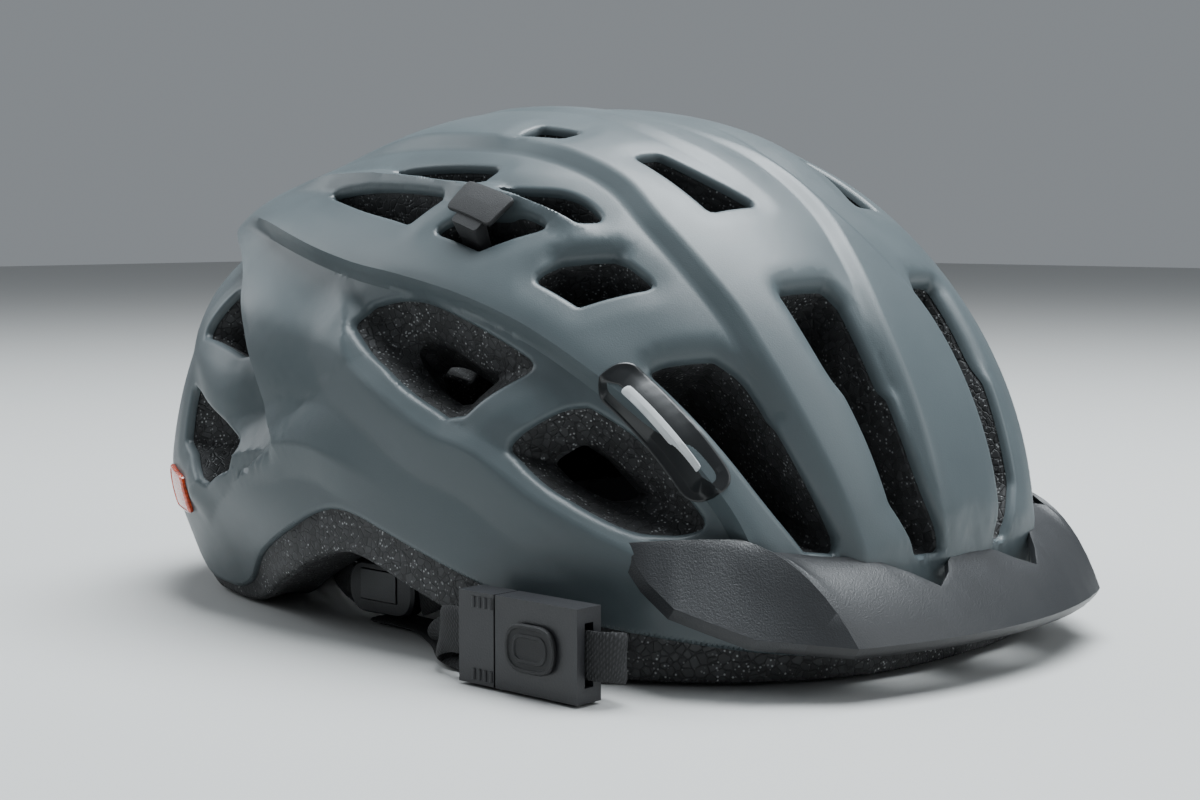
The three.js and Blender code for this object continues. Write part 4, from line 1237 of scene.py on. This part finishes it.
def nape_place(u, v, rise):
    y = NAPE_BACK - NAPE_THICKNESS * rise - u**2 / (2 * CRADLE_RADIUS)
    return np.stack([u, y, v + NAPE_LEVEL], axis=-1)


# Half size in the pad's own units (degrees or millimetres), corner, outline spacing, cross seams.
PADS = {
    "crown_pad_middle": (foam_pad_place(85.0, 0.0), (31.0, 3.7), 3.0, (-12.0, 12.0)),
    "crown_pad_right": (foam_pad_place(79.0, -21.5), (37.0, 2.8), 2.4, (-14.0, 10.0)),
    "side_pad_right": (foam_pad_place(87.5, -66.5), (35.0, 3.2), 2.6, (-8.0, 14.0)),
    "brow_pad": (brow_place, (44.0, 9.4), 7.0, (-24.0, -8.0, 8.0, 24.0)),
    "nape_pad": (nape_place, (25.6, 14.6), 9.0, (-9.0, 9.0)),
}
PAD_BODIES = {"nape_pad": "cradle"}


def inflate(obj):
    """Blows the pad's cover up as cloth around its foam, and keeps every point near its start."""
    before = np.array([v.co for v in obj.data.vertices])
    cover = obj.modifiers.new("cover", "CLOTH")
    cover.settings.use_pressure = True
    cover.settings.uniform_pressure_force = PAD_PRESSURE
    cover.settings.effector_weights.gravity = 0.0
    cover.point_cache.frame_end = PAD_FRAMES
    for step in range(1, PAD_FRAMES + 1):
        bpy.context.scene.frame_set(step)
    evaluated = obj.evaluated_get(bpy.context.evaluated_depsgraph_get())
    after = np.array([v.co for v in evaluated.data.vertices])
    obj.modifiers.remove(cover)
    bpy.context.scene.frame_set(1)
    move = after - before
    length = np.maximum(np.linalg.norm(move, axis=1, keepdims=True), 1e-9)
    move *= np.minimum(1.0, PAD_TRAVEL / length) * PAD_SWELL
    for vertex, place in zip(obj.data.vertices, before + move):
        vertex.co = place


def apply_modifier(obj, kind, **values):
    modifier = obj.modifiers.new(kind.lower(), kind)
    for key, value in values.items():
        setattr(modifier, key, value)
    bpy.context.view_layer.objects.active = obj
    bpy.ops.object.modifier_apply(modifier=modifier.name)


def sew_seams(obj, place, half, seams):
    """Presses sewn channels across the pad, towards the middle of its thickness."""
    points = np.array([v.co for v in obj.data.vertices]) / MM - HEAD
    for u in seams:
        v = np.linspace(-half[1], half[1], SEAM_SAMPLES)
        line = place(np.full(SEAM_SAMPLES, u), v, SEAM_LEVEL)
        index, _ = nearest(points, line)
        gap = points - line[index]
        near = place(np.array([u + 0.5, u - 0.5]), np.zeros(2), SEAM_LEVEL)
        along = (near[0] - near[1]) / np.linalg.norm(near[0] - near[1])
        pull = SEAM_DEPTH * np.exp(-(gap @ along / SEAM_HALF) ** 2)
        thin = gap - np.outer(gap @ along, along)
        length = np.maximum(np.linalg.norm(thin, axis=1, keepdims=True), 1e-6)
        points -= thin / length * np.minimum(pull[:, None], length * 0.8)
    for vertex, point in zip(obj.data.vertices, to_row(points)):
        vertex.co = point


def build_pad(name, place, half, corner, seams):
    bar = rounded_bar(*half, corner, 0.9)
    pad = plate(name + "_cover", bar, PAD_PROFILE, place, [PAD_FABRIC], 0)
    apply_modifier(pad, "REMESH", mode="VOXEL", voxel_size=PAD_VOXEL)
    inflate(pad)
    apply_modifier(pad, "SUBSURF", levels=2, render_levels=2)
    sew_seams(pad, place, half, seams)
    pad.data.shade_smooth()
    outline = bar[0]
    points, faces = tube_mesh(place(outline[:, 0], outline[:, 1], WELT_LEVEL), WELT_RADIUS)
    welt = new_object(name + "_welt", to_row(points), faces, [WELT_FABRIC], 0)
    return pad, welt


def build_pads():
    for name, (place, half, corner, seams) in PADS.items():
        pieces = build_pad(name, place, half, corner, seams)
        body = PAD_BODIES.get(name, "helmet")
        sides = [(name, pieces)]
        if name.endswith("right"):
            other = name.replace("right", "left")
            sides.append((other, [flipped_copy(p, p.name.replace("right", "left")) for p in pieces]))
        for node, (pad, welt) in sides:
            finish_piece(pad, body, [node])
            finish_piece(welt, body, ())


# ---------------------------------------------------------------- webbing

WEB_WIDTH = 13.0
WEB_THICKNESS = 1.8
WEB_STEP = 1.0
WEB_COLUMNS = 15
WEB_CURVE_STEPS = 10
ACROSS_WEIGHT = 20.0  # keeps the stations' directions in step with their places
WEB_RIBS = 4
RIB_HEIGHT = 0.1
TACK_START = 3.0
TACK_LENGTH = 7.0
TACK_STITCH = 0.16

# Stations of each strap: centre and direction across it, millimetres from the head centre.
FRONT_STRAP = (
    ((-73.4, -22, -1.8), (0, 1, 0)),
    ((-73.6, -20, -6), (0, 1, 0.4)),
    ((-73.4, -13, -11), (0, 0.7, 1)),
    ((-72.4, -5, -14.5), (0, 0.1, 1)),
    ((-71.2, -0.9, -15.8), (0, 0, 1)),
)
REAR_STRAP = (
    ((-60, 63, 6), (0.2, 1, 0)),
    ((-60.2, 62, 0), (0.2, 1, 0.2)),
    ((-62.2, 55, -8), (0, 0.8, 1)),
    ((-66.4, 43, -14), (0, 0.2, 1)),
    ((-71.2, 30.3, -15.8), (0, 0, 1)),
)
CHIN_RIGHT = (
    ((-110, -101.2, -13.1), (0, 0, 1)),
    ((-110, -110, -13.1), (0, 0, 1)),
    ((-107.5, -114.5, -13.1), (0, 0, 1)),
    ((-103.5, -114, -14.1), (0, 0, 1)),
    ((-101.5, -104, -16.1), (0, 0, 1)),
    ((-102, -88, -17.5), (0, 0, 1)),
    ((-102.5, -66, -18.9), (0, 0, 1)),
    ((-99.4, -56, -23.4), (0.85, 0, 0.34)),
    ((-97, -46, -24.9), (1, -0.3, 0)),
    ((-84, -28, -24.9), (1, -0.3, 0)),
    ((-73, -6, -24.9), (1, 0, 0)),
    ((-71.2, 15, -24.9), (1, 0, 0)),
)
CHIN_LEFT = (
    ((-110, -70.8, -13.1), (0, 0, 1)),
    ((-110, -60, -13.1), (0, 0, 1)),
    ((-108.5, -52, -14.1), (0, 0, 1)),
    ((-104, -46, -17.6), (0.5, 0.2, 0.9)),
    ((-96, -40, -20.8), (0.4, 1, 0)),
    ((-80, -34, -22.3), (-0.3, 1, 0)),
    ((-60, -27, -22.3), (-0.3, 1, 0)),
    ((-30, -14, -22.3), (0, 1, 0)),
    ((30, -14, -22.3), (0, 1, 0)),
    ((50, -6, -24.9), (-0.3, 1, 0)),
    ((67.4, 15, -24.9), (-0.1, 1, 0)),
)


def webbing_mesh(stations):
    """A woven strap: ribbed faces, firm edges and a sewn tack near each end. Also its weave places."""
    centres = np.array([centre for centre, _ in stations], float)
    across = np.array([direction for _, direction in stations], float)
    across /= np.linalg.norm(across, axis=1, keepdims=True)
    stacked = smooth_line(np.hstack([centres, across * ACROSS_WEIGHT]), WEB_CURVE_STEPS)
    both = resample(stacked, WEB_STEP, False)
    path, side = both[:, :3], both[:, 3:]
    along = np.gradient(path, axis=0)
    along /= np.linalg.norm(along, axis=1, keepdims=True)
    side = side - along * np.einsum("ij,ij->i", side, along)[:, None]
    side /= np.linalg.norm(side, axis=1, keepdims=True)
    face = np.cross(along, side)
    distance = np.concatenate([[0.0], np.cumsum(np.linalg.norm(np.diff(path, axis=0), axis=1))])
    from_end = np.minimum(distance, distance[-1] - distance)
    tack_end = TACK_START + TACK_LENGTH
    tack = smooth(from_end, TACK_START, TACK_START + 1.0) * (1.0 - smooth(from_end, tack_end - 1.0, tack_end))
    u = np.linspace(-1.0, 1.0, WEB_COLUMNS)
    rib = RIB_HEIGHT * np.cos(u * math.pi * WEB_RIBS)
    edge = np.sqrt(np.clip(1.0 - np.abs(u) ** 12, 0.02, 1.0))
    loops = []
    weave = []
    for i in range(len(path)):
        half = WEB_THICKNESS / 2 * edge * (0.88 + rib) + TACK_STITCH * tack[i] * (i % 2)
        middle = path[i] + np.outer(u * WEB_WIDTH / 2, side[i])
        rise = np.outer(half, face[i])
        loops.append(np.vstack([middle + rise, (middle - rise)[::-1]]))
        flat = np.zeros((WEB_COLUMNS, 3))
        flat[:, 0] = distance[i]
        flat[:, 1] = u * WEB_WIDTH / 2
        weave.append(np.vstack([flat, flat[::-1]]))
    count = 2 * WEB_COLUMNS
    faces = []
    rows = [list(range(r * count, (r + 1) * count)) for r in range(len(loops))]
    for first, second in zip(rows, rows[1:]):
        faces += strip_between(first, second, True)
    last = (len(loops) - 1) * count
    for k in range(WEB_COLUMNS - 1):
        faces.append([k, count - 1 - k, count - 2 - k, k + 1])
        faces.append([last + k, last + k + 1, last + count - 2 - k, last + count - 1 - k])
    return np.vstack(loops), faces, np.vstack(weave)


def build_strap(name, stations, body, node, mirror=False):
    points, faces, weave = webbing_mesh(stations)
    if mirror:
        points = points * np.array([-1.0, 1.0, 1.0])
    strap = new_object(name, to_row(points), faces, [WEBBING], 50)
    layer = strap.data.attributes.new("weave", "FLOAT_VECTOR", "POINT")
    layer.data.foreach_set("vector", weave.astype(np.float32).ravel())
    finish_piece(strap, body, [node], merge=False)


def build_straps():
    for side, mirror in (("right", False), ("left", True)):
        build_strap("front_webbing_" + side, FRONT_STRAP, "helmet", "front_strap_" + side, mirror)
        build_strap("rear_webbing_" + side, REAR_STRAP, "helmet", "rear_strap_" + side, mirror)
    build_strap("chin_webbing_right", CHIN_RIGHT, "helmet", "chin_strap_right")
    build_strap("chin_webbing_left", CHIN_LEFT, "buckle_tongue", "chin_strap_left")


# ---------------------------------------------------------------- fit system

DIVIDER = {"x": -71.2, "y": 15.0, "z": -15.8, "half": (15.0, 8.0), "corner": 7.9, "half_thick": 2.8}
POCKET = {"y": (-8.0, 9.0), "z": (-4.0, 6.0), "depth": 1.8}
POCKET_FLOOR = 0.5  # the floor and the back are drawn in to this share before they close
KNOB_FIT = 0.995
KNOB_FLUTES = 16
KNOB_STEPS = 12  # points around each flute
FLUTE_DEPTH = 1.5
BELT_STEPS = 90
BELT_INSET = 0.4


def pocket_edge(point, centre):
    """Where the ray from the pocket's centre through a point meets the pocket's edge."""
    ray = point - centre
    limits = []
    for axis, (low, high) in enumerate((POCKET["y"], POCKET["z"])):
        if ray[axis] != 0.0:
            limits.append(((high if ray[axis] > 0 else low) - centre[axis]) / ray[axis])
    return centre + ray * min(limits)


def build_dividers():
    length, width = DIVIDER["half"]
    corners = [(-length, -width), (length, -width), (length, width), (-length, width)]
    outline = resample(rounded(corners, DIVIDER["corner"], 10), 1.0, True)
    centre = np.array([sum(POCKET["y"]) / 2, sum(POCKET["z"]) / 2])
    inner = np.array([pocket_edge(point, centre) for point in outline])
    drawn_in = centre + (inner - centre) * POCKET_FLOOR
    rim = outline * 0.93
    half = DIVIDER["half_thick"]
    floor = half - POCKET["depth"]

    def loop(flat, out):
        x = np.full(len(flat), DIVIDER["x"] - out)
        return np.stack([x, DIVIDER["y"] + flat[:, 0], DIVIDER["z"] + flat[:, 1]], axis=-1)

    profile = ((drawn_in, -half), (rim, -half), (outline, 0.7 - half), (outline, half - 0.9), (rim, half),
               (inner, half), (inner, floor), (drawn_in, floor))
    points, faces = loops_mesh([loop(flat, out) for flat, out in profile])
    right = new_object("divider_right", to_row(points), faces, [PLASTIC], 32)
    finish_pair(right, "helmet", "strap_divider")


def build_knob():
    low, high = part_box("dial_knob")
    centre = (np.array(low) + np.array(high)) / 2 / MM
    radius = (high[0] - low[0]) / 2 / MM
    front, back = low[1] / MM, high[1] / MM
    turn = np.linspace(0.0, 2 * math.pi, KNOB_FLUTES * KNOB_STEPS, endpoint=False)
    flute = np.maximum(0.0, np.cos(turn * KNOB_FLUTES)) ** 2
    # share of the radius, place along the axis, share of the flutes' depth
    profile = ((0.25, front, 0), (0.9, front, 0.3), (0.97, front + 0.5, 1), (1.0, front + 1.5, 1),
               (1.0, back - 3.0, 1), (0.95, back - 1.3, 0.8), (0.86, back - 0.5, 0.3), (0.78, back, 0),
               (0.72, back, 0), (0.68, back - 1.2, 0), (0.3, back - 1.4, 0), (0.24, back - 0.6, 0),
               (0.1, back - 0.4, 0))
    loops = []
    for share, y, deep in profile:
        reach = radius * share * KNOB_FIT - FLUTE_DEPTH * flute * deep
        x = centre[0] + reach * np.cos(turn)
        z = centre[2] + reach * np.sin(turn)
        loops.append(np.stack([x, np.full(len(turn), y), z], axis=-1) - HEAD)
    points, faces = loops_mesh(loops)
    knob = new_object("dial_wheel", to_row(points), faces, [RUBBER], 40)
    finish_piece(knob, "dial", ["dial_knob"])


def build_front_belt():
    """A thin springy band with a bead along both edges."""
    degrees = np.linspace(-BELT["reach"], BELT["reach"], BELT_STEPS)
    low, high = BELT["low"], BELT["high"]
    section = [(0.0, low), (1.3, low), (1.3, low + 1.6), (0.85, low + 2.2), (0.85, high - 2.2),
               (1.3, high - 1.6), (1.3, high), (0.0, high), (-0.5, high), (-0.5, low)]
    loops = [[(*oval_point(BELT_INSET - out, degree), z) for out, z in section] for degree in degrees]
    points, faces = loops_mesh(loops)
    belt = new_object("fit_band_front", to_row(points), faces, [PLASTIC], 35)
    finish_piece(belt, "helmet", ["front_belt"])


# ---------------------------------------------------------------- buckle

GRIP_RIDGES = 4
GRIP_START = 1.6  # first ridge behind the socket's end
GRIP_PITCH = 2.2
GRIP_RADIUS = 0.6
GRIP_SPAN = (1.2, 4.2)  # from the tongue's upper or lower edge
GRIP_SINK = 0.1


def build_buckle_pad():
    low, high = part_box("buckle_pad")
    low, high = np.array(low) / MM, np.array(high) / MM
    middle = (low + high) / 2
    half = (high - low) / 2

    def place(u, v, rise):
        x = np.full(len(u), high[0] - rise)
        return np.stack([x, middle[1] + u, middle[2] + v], axis=-1) - HEAD

    bar = rounded_bar(half[1], half[2], half[2] * 0.95, 0.35)
    profile = ((0.0, 0.0), (0.98, 0.0), (1.0, 0.3), (1.0, 1.0), (0.95, 1.4), (0.84, 1.4), (0.8, 1.05),
               (0.62, 1.05), (0.58, 1.35), (0.46, 1.35), (0.42, 1.05), (0.0, 1.05))
    pad = plate("buckle_button", bar, profile, place, [RUBBER], 30)
    finish_piece(pad, "helmet", ["buckle_pad"])


def build_buckle_grips():
    """Raised finger ridges on both faces of the tongue's head."""
    low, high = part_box("buckle_tongue")
    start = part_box("buckle_socket")[1][1] / MM + GRIP_START
    turns = np.linspace(0, 2 * math.pi, 8, endpoint=False)
    section = [(GRIP_RADIUS * math.cos(t), GRIP_RADIUS * math.sin(t)) for t in turns]
    ridges = [(face_x / MM - GRIP_SINK * out, start + GRIP_PITCH * k, edge_z / MM, inward)
              for face_x, out in ((low[0], -1.0), (high[0], 1.0))
              for edge_z, inward in ((low[2], 1.0), (high[2], -1.0))
              for k in range(GRIP_RIDGES)]
    points = []
    faces = []
    for x, y, edge_z, inward in ridges:
        heights = edge_z + inward * np.linspace(*GRIP_SPAN, 6)
        more, quads = loops_mesh([[(x + a, y + b, z) for a, b in section] for z in heights])
        faces += [[i + len(points) for i in quad] for quad in quads]
        points += [tuple(p) for p in more]
    grips = new_object("buckle_grips", np.array(points) * MM, faces, [PLASTIC], 50)
    finish_piece(grips, "buckle_tongue")


# ---------------------------------------------------------------- hard parts kept from the frame

# Finish of each part, and how far its edges are rounded.
KEPT = {
    "buckle_socket": (PLASTIC, 1.0), "buckle_tongue": (PLASTIC, 0.8), "strap_keeper": (PLASTIC, 0.5),
    "cradle_frame": (PLASTIC, 0.7), "dial_housing": (PLASTIC, 0.8), "dial_cover": (PLASTIC, 0.5),
    "dial_pinion": (NYLON, 0.15), "height_strap": (PLASTIC, 0.4), "height_anchor": (PLASTIC, 0.8),
}
KEPT_PAIRS = {
    "cam_lever": (LEVER, 0.6), "rear_band": (NYLON, 0.3), "belt_anchor": (PLASTIC, 0.8),
    "strap_anchor_front": (PLASTIC, 0.8), "strap_anchor_rear": (PLASTIC, 0.8),
}


def dress_kept():
    """Rounds the edges of each hard part and gives it its finish."""
    parts = list(KEPT.items())
    parts += [(name + side, look) for name, look in KEPT_PAIRS.items() for side in ("_right", "_left")]
    for node, (finish, width) in parts:
        obj = bpy.data.objects[node]
        obj.data.materials.clear()
        obj.data.materials.append(finish)
        soft_edges(obj, width, 35.0)


# ---------------------------------------------------------------- stage, lights and camera

CAMERA_PLACE = (-0.4964, -0.4630, 0.1261)
CAMERA_AIM = (0.0, 0.00095, 0.0656)
LENS_MM = 62.97
SENSOR_MM = 36.0
FLOOR_LEVEL = -0.0005
FLOOR_SIZE = 8.0
SKY_COLOUR = (0.80, 0.86, 0.92, 1.0)
SKY_STRENGTH = 0.3
LIGHT_AIM = (0.0, 0.0, 0.08)

# Name, place, size, watts and colour of each soft light.
LIGHTS = (
    ("key_sky", (0.3, -0.1, 1.4), 1.1, 62.0, (0.9, 0.96, 1.0)),
    ("rim_back", (-0.5, 1.3, 0.9), 1.0, 10.0, (0.9, 0.96, 1.0)),
    ("front_soft", (0.5, -1.5, 0.9), 1.0, 9.0, (0.92, 0.97, 1.0)),
)


def build_stage():
    bpy.ops.mesh.primitive_plane_add(size=FLOOR_SIZE, location=(0.0, 0.0, FLOOR_LEVEL))
    floor = bpy.context.object
    floor.name = "floor"
    floor.data.materials.append(new_material("floor_pale", (0.5, 0.5, 0.49), 0.7)[0])
    world = bpy.data.worlds.new("studio")
    bpy.context.scene.world = world
    world.use_nodes = True
    sky = world.node_tree.nodes["Background"]
    sky.inputs["Color"].default_value = SKY_COLOUR
    sky.inputs["Strength"].default_value = SKY_STRENGTH


def aimed(obj, place, aim):
    """Puts a light or the camera at a place, looking at the aim."""
    obj.location = place
    obj.rotation_euler = (Vector(aim) - Vector(place)).to_track_quat("-Z", "Y").to_euler()
    bpy.context.scene.collection.objects.link(obj)


def build_lights():
    for name, place, size, power, colour in LIGHTS:
        data = bpy.data.lights.new(name, "AREA")
        data.energy = power
        data.size = size
        data.color = colour
        aimed(bpy.data.objects.new(name, data), place, LIGHT_AIM)


def build_camera():
    data = bpy.data.cameras.new("camera")
    data.lens = LENS_MM
    data.sensor_width = SENSOR_MM
    camera = bpy.data.objects.new("camera", data)
    aimed(camera, CAMERA_PLACE, CAMERA_AIM)
    bpy.context.scene.camera = camera


build_camera()
build_stage()
build_lights()
build_shell()
build_foam()
build_visor()
build_badges()
build_reflectors()
build_lamp_clip()
build_pads()
build_straps()
build_dividers()
build_knob()
build_front_belt()
build_buckle_pad()
build_buckle_grips()
dress_kept()
